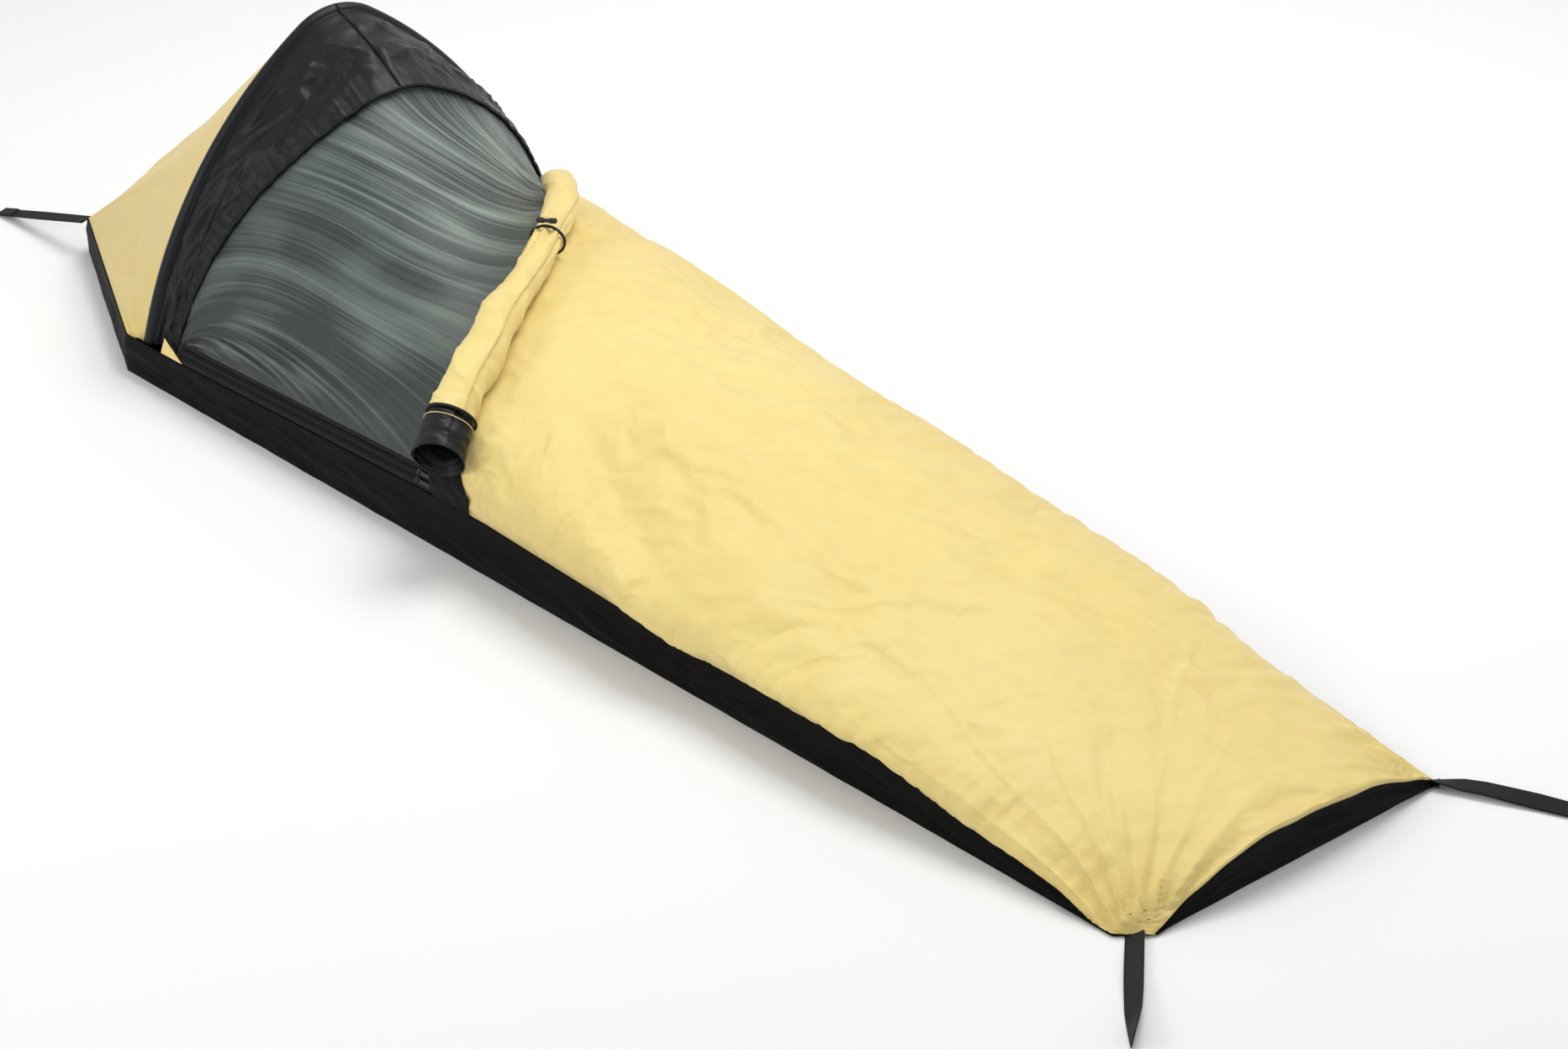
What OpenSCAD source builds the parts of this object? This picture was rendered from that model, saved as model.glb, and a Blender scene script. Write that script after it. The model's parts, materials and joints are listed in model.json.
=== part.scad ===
// Bivy sack pitched on the ground: tub floor, stuffed upper, hooped hood with a brim,
// insect mesh, rolled storm door and four stake-out straps.
// Millimetres. Origin on the ground under the middle of the shoulder line,
// +X towards the foot end, +Y towards the far side (the sleeper's left), +Z up.

/* [Overall size] */
// Floor length from the head edge to the foot edge
sack_l = 2130; // [1950:10:2350]
// Floor length from the head edge to the shoulder line
head_l = 360; // [300:5:420]
// Floor width at the shoulders
shoulder_w = 664; // [600:2:740]
// Floor width at the foot end
foot_w = 420; // [360:2:480]
// Floor width at the head end
head_w = 356; // [300:2:420]

/* [Tub and upper] */
// Height of the tub wall
wall_h = 52; // [44:1:64]
// Height of the upper over a stuffed chest
crest_h = 222; // [180:2:270]
// Height of the upper at the foot end
foot_h = 59; // [52:1:80]
// How far the near side of the upper bulges out over the tub wall, below the door
bulge = 45; // [20:1:55]
// Fabric thickness as drawn
skin_t = 1.2; // [0.8:0.1:1.6]

/* [Hood] */
// Height of the hood over the ground
hoop_h = 438; // [390:2:480]
// Bend radius of the pre-bent crown of the hoop pole
crown_r = 92; // [80:1:110]
// Distance of the hoop from the shoulder line
hoop_x = 38; // [25:1:60]
// Outside diameter of the pole tube
pole_d = 8.5; // [7:0.1:9]
// How far the brim reaches in front of the hoop
brim_l = 135; // [100:1:150]

/* [Door, zips and straps] */
// Radius of the rolled door at its near end
roll_r = 31; // [24:1:36]
// Length of the straight run of the side zips
zip_l = 540; // [480:10:560]
// Width of the stake-out webbing
web_w = 20; // [15:1:25]
// Free length of a foot strap
foot_strap_l = 187; // [120:1:260]
// Free length of a head strap
head_strap_l = 208; // [120:1:260]

/* [Hidden] */

$fn = 48;
foot_x = sack_l - head_l;
sw = shoulder_w / 2;
fw = foot_w / 2;
hdw = head_w / 2;
zip_x0 = 115;
zip_x1 = zip_x0 + zip_l;

function clamp(t) = min(1, max(0, t));
function ramp(x, a, b) = clamp((x - a) / (b - a));
function mix(a, b, t) = a + (b - a) * t;
function unit(v) = v / norm(v);
// half-widths of the floor line: the foot end slouches towards the near side
function head_hw(x) = mix(sw, hdw, -x / head_l);
near_line = [[0, sw], [foot_x - 70, fw + 39], [foot_x - 26, fw + 36], [foot_x, fw + 2]];
far_line = [[0, sw], [foot_x - 270, fw + 2], [foot_x, fw]];
function hn(x) = x < 0 ? head_hw(x) : lookup(x, near_line);
function hf(x) = x < 0 ? head_hw(x) : lookup(x, far_line);
// top of the tub wall, near side and far side
function zn(x) = wall_h + 16 * ramp(x, zip_x0, zip_x1) - 16 * ramp(x, 750, 1100)
  - (wall_h - 6) * ramp(x, 1400, 1730);
function zf(x) = wall_h - (wall_h - 6) * ramp(x, 1430, foot_x);
function crest(x) = let (t = ramp(x, 450, foot_x)) mix(crest_h, foot_h, t) + 10 * sin(180 * t);

// the stuffed upper: station x, angle w from the near side (0) over the top to the far side (180)
function up(x, w) =
  let (c = cos(w), s = sin(w), a = abs(c), near = c > 0, e = ramp(x, 1350, foot_x),
    half = (near ? hn(x) : hf(x)) - 2, z0 = (near ? zn(x) : zf(x)) + 2,
    p = near ? mix(0.8, 1, e) : 1, q = mix(near ? 0.9 : 1, 2, e * e),
    b = near ? mix(20, bulge, ramp(x, 700, 1100)) * (1 - e) : 0)
  [x, (near ? -1 : 1) * (pow(a, p) * half + b * 4 * s * (1 - s) * sqrt(a)),
    z0 + (crest(x) - z0) * pow(s, q)];
// front edge of the upper, where the door rolls back to
function cut_y(w) = let (c = cos(w)) c > 0 ? -300 * pow(c, 0.8) : -300 * c;
function cut_x(w) = let (y = cut_y(w), f = max(0, y)) max(150, 478 - 0.8 * y - 0.00267 * f * f);
function end_x(w) = foot_x - 1 + 6 * (1 - pow(abs(cos(w)), 1.6));

// hoop: crown arc and two side arcs, tangent to each other
pole_w = sw - 14;
tip_z = 40;
apex_z = hoop_h - 7.5;
end_a = 76;
side_r = (pow(apex_z - tip_z - crown_r, 2) + pow(pole_w, 2) - pow(crown_r, 2))
  / (2 * (sin(end_a) * pole_w - (apex_z - tip_z - crown_r) * cos(end_a) - crown_r));
crown_a = asin((sin(end_a) * side_r - pole_w) / (side_r - crown_r));
crown_z = apex_z - crown_r;
side_y = (side_r - crown_r) * sin(crown_a);
side_z = crown_z - (side_r - crown_r) * cos(crown_a);
crown_len = crown_r * crown_a * PI / 180;
side_len = side_r * (end_a - crown_a) * PI / 180;
// angle along the hoop at fraction v of its half length, -1 near tip, 0 apex, 1 far tip
function ha(v) = let (s = abs(v) * (crown_len + side_len))
  sign(v) * (s < crown_len ? s / crown_r : crown_a * PI / 180 + (s - crown_len) / side_r) * 180 / PI;
// point of the hoop at fraction v, o outside the pole's centre line
function hp(v, o = 0) = let (f = ha(v), g = abs(f))
  g <= crown_a ? [hoop_x, (crown_r + o) * sin(f), crown_z + (crown_r + o) * cos(f)]
  : [hoop_x, sign(f) * ((side_r + o) * sin(g) - side_y), side_z + (side_r + o) * cos(g)];

// hood back: from the hoop (u = 0) to its lower edge (u = 1), which runs along the head edge
// to the corner and from there back along the wall top
v_end = 0.93;
function back_foot(v) =
  let (g = 2 * abs(v) / v_end, m = sign(v) * (1 - pow(1 - clamp(g), 2.6)),
    x = mix(3 - head_l, -16, pow(clamp(g - 1), 1.2)))
  [x - 6 * (1 - m * m), m * (hn(x) - 2), wall_h + 2 + 10 * (1 - m * m)];
function back(u, v) = mix(hp(v, 3) - [9, 0, 0], back_foot(v), u);
// brim: from the hoop (u = 0) to its front edge (u = 1)
function brim(u, v) =
  let (h = hp(v, 3) + [9, 0, 0], t = clamp((h[2] - tip_z) / (apex_z - tip_z)))
  h + [u * brim_l * (0.3 + 0.7 * pow(t, 1.5)) , -sign(v) * u * 9 * (1 - t),
    -u * brim_l * 0.44 * t * t + 5 * sin(180 * u)];

// side zips: a straight line on the near wall top
zip_e = [0, cos(70), sin(70)];
function zl(x) = [x, -hn(x) + 2, zn(x) + 1.5];
zip_d = unit(zl(zip_x1) - zl(zip_x0));
zip_len = norm(zl(zip_x1) - zl(zip_x0));
module on_zip(x, off) {
  translate(zl(x) + zip_e * off)
    rotate([70, -asin(zip_d[2]), atan2(zip_d[1], zip_d[0])])
      children();
}

// insect mesh: from the brim edge (u = 0) to the side zip and the door line (u = 1)
function mesh_a(v) = brim(1, mix(-v_end, v_end, v)) + [7, 0, -4];
function mesh_b(v) = v < 0.42
  ? zl(mix(zip_x0 + 5, zip_x1, v / 0.42)) + zip_e * 27
  : let (w = mix(16, 172, (v - 0.42) / 0.58), p = up(cut_x(w), w)) p - [16, 0, 0];
function mesh_s(u, v) =
  mix(mesh_a(v), mesh_b(v), u) - [0, 0, 14 * sin(180 * u) * sin(180 * clamp(v * 1.15))];

// rolled door over the front edge of the upper
function roll_rad(w) = lookup(w, [[20, roll_r], [68, roll_r - 4], [90, roll_r - 12],
  [97, roll_r - 12], [110, roll_r - 7], [130, roll_r - 9]]);
function roll_c(w, d = 0) = let (p = up(cut_x(w), w))
  p + unit([0, -0.8 * cos(w), sin(w)]) * (roll_rad(w) + 3 + d);

function nrm(f, u, v) = let (e = 0.002, a = max(0, u - e), b = min(1, u + e),
  c = max(0, v - e), d = min(1, v + e)) unit(cross(f(b, v) - f(a, v), f(u, d) - f(u, c)));

// closed skin over f(u, v), from offset b to offset a along its normal
module skin(f, nu, nv, a, b) {
  m = (nu + 1) * (nv + 1);
  function k(i, j) = i * (nv + 1) + j;
  ps = [for (o = [a, b], i = [0:nu], j = [0:nv])
    f(i / nu, j / nv) + nrm(f, i / nu, j / nv) * o];
  top = [for (i = [0:nu - 1], j = [0:nv - 1], q = [0, 1])
    q == 0 ? [k(i, j), k(i, j + 1), k(i + 1, j + 1)] : [k(i, j), k(i + 1, j + 1), k(i + 1, j)]];
  bot = [for (t = top) [m + t[2], m + t[1], m + t[0]]];
  e1 = [for (j = [0:nv - 1]) [k(0, j), m + k(0, j), m + k(0, j + 1)]];
  e2 = [for (j = [0:nv - 1]) [k(0, j), m + k(0, j + 1), k(0, j + 1)]];
  e3 = [for (j = [0:nv - 1]) [k(nu, j), m + k(nu, j + 1), m + k(nu, j)]];
  e4 = [for (j = [0:nv - 1]) [k(nu, j), k(nu, j + 1), m + k(nu, j + 1)]];
  e5 = [for (i = [0:nu - 1]) [k(i, 0), m + k(i + 1, 0), m + k(i, 0)]];
  e6 = [for (i = [0:nu - 1]) [k(i, 0), k(i + 1, 0), m + k(i + 1, 0)]];
  e7 = [for (i = [0:nu - 1]) [k(i, nv), m + k(i, nv), m + k(i + 1, nv)]];
  e8 = [for (i = [0:nu - 1]) [k(i, nv), m + k(i + 1, nv), k(i + 1, nv)]];
  polyhedron(ps, concat(top, bot, e1, e2, e3, e4, e5, e6, e7, e8), convexity = 8);
}

// round pipe along a path; ri = 0 makes a solid cord
module pipe(path, ro, ri, nf) {
  n = len(path) - 1;
  t = [for (i = [0:n]) unit(path[min(n, i + 1)] - path[max(0, i - 1)])];
  a = [for (i = [0:n]) unit(cross(t[i], [0.31, 0.2, 0.93]))];
  b = [for (i = [0:n]) cross(t[i], a[i])];
  function rr(r, i) = is_list(r) ? r[i] : r;
  out = [for (i = [0:n], j = [0:nf - 1])
    path[i] + (a[i] * cos(360 * j / nf) + b[i] * sin(360 * j / nf)) * rr(ro, i)];
  inn = ri == 0 ? [path[0], path[n]] : [for (i = [0:n], j = [0:nf - 1])
    path[i] + (a[i] * cos(360 * j / nf) + b[i] * sin(360 * j / nf)) * (rr(ro, i) - ri)];
  m = (n + 1) * nf;
  function k(i, j) = i * nf + (j % nf);
  side = [for (i = [0:n - 1], j = [0:nf - 1], q = [0, 1])
    q == 0 ? [k(i, j), k(i + 1, j + 1), k(i, j + 1)] : [k(i, j), k(i + 1, j), k(i + 1, j + 1)]];
  cap = ri == 0
    ? concat([for (j = [0:nf - 1]) [m, k(0, j), k(0, j + 1)]],
        [for (j = [0:nf - 1]) [m + 1, k(n, j + 1), k(n, j)]])
    : concat([for (f = side) [m + f[2], m + f[1], m + f[0]]],
        [for (j = [0:nf - 1], q = [0, 1]) q == 0 ? [m + k(0, j), k(0, j), k(0, j + 1)]
          : [m + k(0, j), k(0, j + 1), m + k(0, j + 1)]],
        [for (j = [0:nf - 1], q = [0, 1]) q == 0 ? [m + k(n, j), k(n, j + 1), k(n, j)]
          : [m + k(n, j), m + k(n, j + 1), k(n, j + 1)]]);
  polyhedron(concat(out, inn), concat(side, cap), convexity = 8);
}

// tub
function flip(line, side) = [for (p = line) [p[0], side * p[1]]];
module plan(i) {
  offset(delta = -i)
    polygon(concat(flip(near_line, -1), [for (j = [2:-1:0]) far_line[j]],
      [[-head_l, hdw], [-head_l, -hdw]]));
}
side_xs = [-head_l - 20, zip_x0, zip_x1, 750, 1100, 1400, 1430, 1730, foot_x - skin_t - 0.1];
module side_cut(far) {
  translate([0, far ? sw + 60 : 0, 0])
    rotate([90, 0, 0])
      linear_extrude(sw + 60)
        polygon(concat([for (x = side_xs) [x, far ? zf(x) : zn(x)]],
          [[foot_x - skin_t - 0.1, 300], [-head_l - 20, 300]]));
}
module foot_cut() {
  translate([foot_x - skin_t - 0.1, 0, 0])
    rotate([90, 0, 90])
      linear_extrude(60)
        polygon(concat([[-fw - 60, 5]],
          [for (w = [0:10:180]) let (p = up(foot_x, w)) [p[1] * 1.01, max(5, p[2] - 4)]],
          [[fw + 60, 5], [fw + 60, 300], [-fw - 60, 300]]));
}
module floor_tub() {
  color([0.10, 0.09, 0.08])
    difference() {
      linear_extrude(foot_h + 20)
        plan(0);
      translate([0, 0, skin_t])
        linear_extrude(foot_h + 40)
          plan(skin_t);
      side_cut(false);
      side_cut(true);
      foot_cut();
    }
}
module wall_seam_tape() {
  color([0.22, 0.23, 0.24])
    difference() {
      translate([0, 0, wall_h - 14])
        linear_extrude(12)
          plan(skin_t + 0.4);
      linear_extrude(foot_h + 40)
        plan(skin_t + 0.9);
      translate([1400, -400, 0])
        cube([600, 800, 200]);
    }
}
module upper_panel() {
  color([0.95, 0.84, 0.50])
    skin(function (u, v) let (w = mix(0.5, 179.5, v), t = 1 - pow(1 - u, 1.6))
      up(mix(cut_x(w), end_x(w), t), w), 24, 36, 0, -skin_t);
}
module foot_seam_tape() {
  color([0.22, 0.23, 0.24])
    skin(function (u, v) let (w = mix(25, 155, v)) up(end_x(w) - 14 + 12 * u, w),
      1, 26, -skin_t - 1.2, -skin_t - 1.8);
}

// hood fabric
module hood_back_near() {
  color([0.90, 0.79, 0.47])
    skin(function (u, v) back(u, mix(-v_end, -0.004, v)), 10, 20, 0, -skin_t);
}
module hood_back_far() {
  color([0.90, 0.79, 0.47])
    skin(function (u, v) back(u, mix(0.004, v_end, v)), 10, 20, 0, -skin_t);
}
module hood_back_seam() {
  color([0.80, 0.70, 0.40])
    skin(function (u, v) back(mix(0.02, 0.98, u), mix(-1, 1, v) * mix(0.016, 0.008, u)), 10, 4,
      -skin_t - 0.5, -skin_t - 1.1);
}
module brim_near() {
  color([0.14, 0.15, 0.17])
    skin(function (u, v) brim(u, mix(-v_end, -0.004, 1 - v)), 6, 22, skin_t, 0);
}
module brim_far() {
  color([0.14, 0.15, 0.17])
    skin(function (u, v) brim(u, mix(0.004, v_end, 1 - v)), 6, 22, skin_t, 0);
}
module brim_seam() {
  color([0.10, 0.10, 0.11])
    skin(function (u, v) brim(mix(0.02, 0.98, u), mix(-0.02, 0.02, 1 - v)), 6, 4, -0.5, -1.1);
}
module brim_edge_cord() {
  color([0.06, 0.06, 0.07])
    pipe([for (i = [0:40]) brim(1, mix(-v_end, v_end, i / 40)) + [2.8, 0, -0.8]], 2, 0, 8);
}

// hoop pole: one pre-bent crown section and two pairs of curved side sections
module arc(r, y, z, a0, a1) {
  translate([hoop_x, y, z])
    rotate([0, -90, 0])
      rotate([0, 0, -a1])
        rotate_extrude(angle = a1 - a0)
          translate([r, 0])
            children();
}
module ring(ro, ri) {
  difference() {
    circle(ro);
    circle(ri);
  }
}
pr = pole_d / 2;
mid_a = crown_a + (end_a - crown_a) / 2;
module crown_arc(a) {
  arc(crown_r, 0, crown_z, -a, a)
    children();
}
module side_arcs(a0, a1) {
  for (s = [0, 1])
    mirror([0, s, 0])
      arc(side_r, -side_y, side_z, -a1, -a0)
        children();
}
module pole_crown_section() {
  color([0.62, 0.64, 0.67])
    crown_arc(crown_a - 0.15)
      ring(pr, pr - 0.8);
}
module pole_upper_sections() {
  color([0.62, 0.64, 0.67])
    side_arcs(crown_a, mid_a - 0.03)
      ring(pr, pr - 0.8);
}
module pole_lower_sections() {
  color([0.62, 0.64, 0.67])
    side_arcs(mid_a, end_a - 2.6)
      ring(pr, pr - 0.8);
}
module pole_ferrules() {
  color([0.75, 0.76, 0.78]) {
    side_arcs(mid_a - 2, mid_a + 2)
      ring(pr - 0.9, pr - 1.7);
    side_arcs(crown_a + 0.2, crown_a + 2.2)
      ring(pr - 0.9, pr - 1.7);
  }
}
module pole_end_tips() {
  color([0.10, 0.10, 0.11])
    side_arcs(end_a - 2.5, end_a)
      circle(pr + 0.4);
}
module tip_pockets() {
  color([0.12, 0.12, 0.12])
    side_arcs(end_a - 2.2, end_a + 0.4)
      ring(pr + 1.8, pr + 0.6);
}
module pole_sleeve() {
  color([0.10, 0.11, 0.12]) {
    crown_arc(crown_a - 0.2)
      ring(pr + 2.0, pr + 0.8);
    side_arcs(crown_a, end_a - 2.7)
      ring(pr + 2.0, pr + 0.8);
  }
}
module shock_cord() {
  color([0.85, 0.86, 0.84])
    pipe([for (i = [0:32]) hp(mix(-v_end, v_end, i / 32))], 1.3, 0, 6);
}

// insect mesh and the side zips
module mesh_panel() {
  color([0.42, 0.47, 0.42])
    skin(function (u, v) mesh_s(mix(0.02, 0.99, u), mix(0.01, 0.99, 1 - v)), 14, 30, 0, -0.8);
}
module side_gusset() {
  color([0.95, 0.84, 0.50])
    on_zip(zip_x0, 0)
      translate([-40, 1, -2.8])
        linear_extrude(0.8)
          polygon([[-10, 0], [130, 0], [30, 20], [-10, 22]]);
}
module strip(x0, len, off, w, z0, t) {
  on_zip(zip_x0, off)
    translate([x0, 0, z0])
      cube([len, w, t]);
}
module mesh_zip_tape() {
  color([0.07, 0.07, 0.08]) {
    strip(0, zip_len, 12, 5, -0.3, 0.6);
    strip(0, zip_len, 21, 5, -0.3, 0.6);
  }
}
module coil(off) {
  on_zip(zip_x0, off)
    translate([4, 0, 0])
      rotate([0, 90, 0])
        cylinder(r = 1.5, h = zip_len - 8);
}
module mesh_zip_coil() {
  color([0.05, 0.05, 0.06])
    coil(19);
}
module door_zip_tape() {
  color([0.07, 0.07, 0.08])
    strip(0, zip_len, 1, 6, -0.3, 0.6);
}
module door_zip_coil() {
  color([0.05, 0.05, 0.06])
    coil(9);
}
slide_x = zip_x1 - 34;
module slider(off) {
  on_zip(slide_x, off) {
    difference() {
      translate([-5, -2.9, 0.5])
        cube([10, 5.8, 2.9]);
      translate([-6, -1.8, 0])
        cube([12, 3.6, 1.8]);
    }
    difference() {
      translate([0, 0.9, 4.3])
        rotate([90, 0, 0])
          cylinder(r = 2.6, h = 1.8);
      translate([0, 2, 4.9])
        rotate([90, 0, 0])
          cylinder(r = 1.2, h = 4);
    }
  }
}
// a pull: a small wire loop through the slider's eye and a flat tab
module pull(off) {
  on_zip(slide_x, off)
    translate([0, 0, 4.9]) {
      rotate([90, 0, 0])
        translate([0, 0, -2.2])
          cylinder(r = 0.8, h = 4.4);
      translate([0, 1.3, -0.8])
        cube([6, 0.9, 1.6]);
      translate([0, -2.2, -0.8])
        cube([6, 0.9, 1.6]);
      difference() {
        translate([5.5, -2.4, -0.8])
          cube([22, 4.8, 1.6]);
        translate([24, 0, -2])
          cylinder(r = 1.1, h = 4);
      }
    }
}
module mesh_slider() {
  color([0.08, 0.08, 0.09])
    slider(19);
}
module mesh_pull() {
  color([0.10, 0.10, 0.11])
    pull(19);
}
module door_slider() {
  color([0.08, 0.08, 0.09])
    slider(9);
}
module door_pull() {
  color([0.10, 0.10, 0.11])
    pull(9);
}
module zip_end_stops() {
  color([0.16, 0.16, 0.17])
    for (off = [9, 19])
      for (x = [0.6, zip_len - 3.4])
        on_zip(zip_x0, off)
          translate([x, -1.8, -0.8])
            cube([3, 3.6, 2.4]);
}

// black patch over the front corner of the upper, from the zip ends to the yellow edge
module corner_patch() {
  color([0.07, 0.07, 0.08])
    skin(function (u, v) let (w = mix(3, 21, v)) up(mix(zip_x1 + 9, cut_x(w) + 8, u), w),
      6, 8, 3.4, 2.4);
}

// rolled door, its black cuff with piping, and the tie
roll_ws = [for (i = [0:22]) mix(39.4, 126, i / 22)];
module door_roll() {
  color([0.96, 0.87, 0.55])
    pipe([for (w = roll_ws) roll_c(w)], [for (w = roll_ws) roll_rad(w)], 6, 18);
}
cuff_ws = [for (i = [0:4]) mix(25, 36.6, i / 4)];
module door_cuff() {
  color([0.09, 0.09, 0.10])
    pipe([for (w = cuff_ws) roll_c(w)], [for (w = cuff_ws) roll_rad(w) - 1], 4, 18);
}
pipe_ws = [for (i = [0:2]) mix(37.4, 38.6, i / 2)];
module door_piping() {
  color([0.05, 0.05, 0.06])
    pipe([for (w = pipe_ws) roll_c(w)], [for (w = pipe_ws) roll_rad(w) + 1.2], 6, 18);
}
tie_w = 94;
tie_p = roll_c(tie_w);
tie_t = unit(roll_c(tie_w + 2) - roll_c(tie_w - 2));
tie_r = roll_rad(tie_w) + 1.8;
tie_yaw = atan2(tie_t[1], tie_t[0]);
tie_pitch = acos(tie_t[2]);
module on_tie() {
  translate(tie_p)
    rotate([0, tie_pitch, tie_yaw])
      children();
}
module tie_cord() {
  color([0.08, 0.08, 0.08])
    on_tie()
      rotate_extrude()
        translate([tie_r, 0])
          circle(1.2);
}
module tie_toggle() {
  color([0.10, 0.11, 0.10])
    on_tie()
      translate([-tie_r - 6.2, 0, 0])
        rotate([90, 0, 0])
          translate([0, 0, -13])
            rotate_extrude()
              polygon([[0, 0], [2, 0], [3.6, 1.5], [3.6, 9], [2.6, 11], [2.6, 15],
                [3.6, 17], [3.6, 24.5], [2, 26], [0, 26]]);
}

// stake-out straps, each sewn in at a corner of the tub
foot_dir = 46;
head_dir = 8;
module foot_strap(yaw) {
  rotate([0, 0, yaw])
    translate([9, -web_w / 2, 3])
      cube([foot_strap_l - 9, web_w, 1.6]);
}
module head_strap(yaw) {
  rotate([0, 0, yaw])
    rotate([0, 14.3, 0])
      translate([9, -web_w / 2, 0])
        cube([head_strap_l - 9, web_w, 1.6]);
}
module strap_foot_near() {
  color([0.16, 0.17, 0.16])
    translate([foot_x - 13, -fw - 19, 0])
      foot_strap(-foot_dir);
}
module strap_foot_far() {
  color([0.16, 0.17, 0.16])
    translate([foot_x, fw, 0])
      foot_strap(27);
}
module strap_head_near() {
  color([0.16, 0.17, 0.16])
    translate([-head_l, -hdw, wall_h - 2])
      head_strap(180 + head_dir);
}
module strap_head_far() {
  color([0.16, 0.17, 0.16])
    translate([-head_l, hdw, wall_h - 2])
      head_strap(180 - head_dir);
}
// the sewn root of each strap
module tack(l) {
  translate([2.4, -web_w / 2 + 2, 0])
    cube([l, web_w - 4, 1.6]);
}
module bar_tacks() {
  color([0.05, 0.05, 0.05]) {
    translate([foot_x - 13, -fw - 19, 3])
      rotate([0, 0, -foot_dir])
        tack(4.8);
    translate([foot_x, fw, 3])
      rotate([0, 0, 27])
        tack(4.8);
    translate([-head_l, -hdw, wall_h - 2])
      rotate([0, 0, 180 + head_dir])
        rotate([0, 14.3, 0])
          tack(4.8);
    translate([-head_l, hdw, wall_h - 2])
      rotate([0, 0, 180 - head_dir])
        rotate([0, 14.3, 0])
          tack(4.8);
  }
}

floor_tub();
wall_seam_tape();
upper_panel();
foot_seam_tape();
hood_back_near();
hood_back_far();
hood_back_seam();
brim_near();
brim_far();
brim_seam();
brim_edge_cord();
pole_sleeve();
pole_crown_section();
pole_upper_sections();
pole_lower_sections();
pole_ferrules();
pole_end_tips();
tip_pockets();
shock_cord();
mesh_panel();
side_gusset();
mesh_zip_tape();
mesh_zip_coil();
mesh_slider();
mesh_pull();
door_roll();
door_cuff();
door_piping();
door_zip_tape();
door_zip_coil();
door_slider();
door_pull();
zip_end_stops();
tie_cord();
tie_toggle();
strap_head_near();
strap_head_far();
strap_foot_near();
strap_foot_far();
bar_tacks();
corner_patch();
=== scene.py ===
"""Bivy sack: the looks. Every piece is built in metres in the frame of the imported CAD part."""

import json
import math

import bpy
import numpy as np
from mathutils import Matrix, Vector


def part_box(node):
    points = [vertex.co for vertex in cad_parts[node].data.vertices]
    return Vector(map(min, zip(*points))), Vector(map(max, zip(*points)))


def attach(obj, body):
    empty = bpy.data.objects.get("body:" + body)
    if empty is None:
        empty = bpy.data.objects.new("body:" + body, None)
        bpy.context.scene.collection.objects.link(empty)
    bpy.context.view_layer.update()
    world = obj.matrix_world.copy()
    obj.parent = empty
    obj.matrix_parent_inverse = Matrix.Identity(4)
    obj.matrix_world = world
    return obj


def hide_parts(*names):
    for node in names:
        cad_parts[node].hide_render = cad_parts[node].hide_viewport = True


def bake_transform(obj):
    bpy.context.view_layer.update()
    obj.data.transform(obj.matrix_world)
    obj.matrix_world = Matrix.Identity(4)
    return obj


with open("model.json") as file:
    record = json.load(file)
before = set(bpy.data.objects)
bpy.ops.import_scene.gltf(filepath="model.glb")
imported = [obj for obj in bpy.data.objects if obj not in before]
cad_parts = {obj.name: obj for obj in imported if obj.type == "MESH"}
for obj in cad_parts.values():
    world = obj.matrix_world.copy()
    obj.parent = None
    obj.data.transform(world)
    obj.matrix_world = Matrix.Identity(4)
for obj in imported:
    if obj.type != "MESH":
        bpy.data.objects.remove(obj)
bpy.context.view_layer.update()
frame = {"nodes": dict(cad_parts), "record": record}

# ---------------------------------------------------------------- sizes, from the frame
TUB_LO, TUB_HI = (np.array(c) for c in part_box("floor_tub"))
HEAD_X = float(TUB_LO[0])
FOOT_X = float(TUB_HI[0])
SHOULDER = float(TUB_HI[1])
FOOT_HALF = 0.210
HEAD_HALF = 0.178
WALL = 0.052
CREST = 0.222
FOOT_TOP = 0.059
BULGE = 0.045
JOINT = {j["name"]: j for j in frame["record"]["behaviour"]["joints"]}
HOOP_X = JOINT["hood_lean"]["pos_m"][0]
TIP_Z = JOINT["hood_lean"]["pos_m"][2]
SLEEVE_HALF = 0.00625
APEX_Z = float(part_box("pole_sleeve")[1][2]) - SLEEVE_HALF
POLE_HALF = SHOULDER - 0.014
CROWN_R = 0.092
END_A = math.radians(76)
BRIM_L = 0.135
BRIM_WRAP_R = 0.0088  # the brim fabric wraps the hoop at this radius
BRIM_WRAP = 1.45  # and leaves it at this angle from the top, radians
ZIP_X0, ZIP_X1 = 0.115, 0.655
MESH_ZIP, DOOR_ZIP = 0.019, 0.009  # the two coils, up the zip band
ROLL_R = 0.031
SKIN, FILM = 0.0009, 0.0003  # thickness of fabric and of seam film


# ---------------------------------------------------------------- small maths
def clamp(t):
    return np.clip(t, 0.0, 1.0)


def ramp(x, a, b):
    return clamp((np.asarray(x, float) - a) / (b - a))


def smooth(x, a, b):
    t = ramp(x, a, b)
    return t * t * (3 - 2 * t)


def mix(a, b, t):
    return a + (b - a) * t


def unit(v):
    v = np.asarray(v, float)
    return v / np.maximum(np.linalg.norm(v, axis=-1, keepdims=True), 1e-12)


def bump(x, centre, width):
    return np.exp(-(((np.asarray(x, float) - centre) / width) ** 2))


_tables = {}


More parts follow.
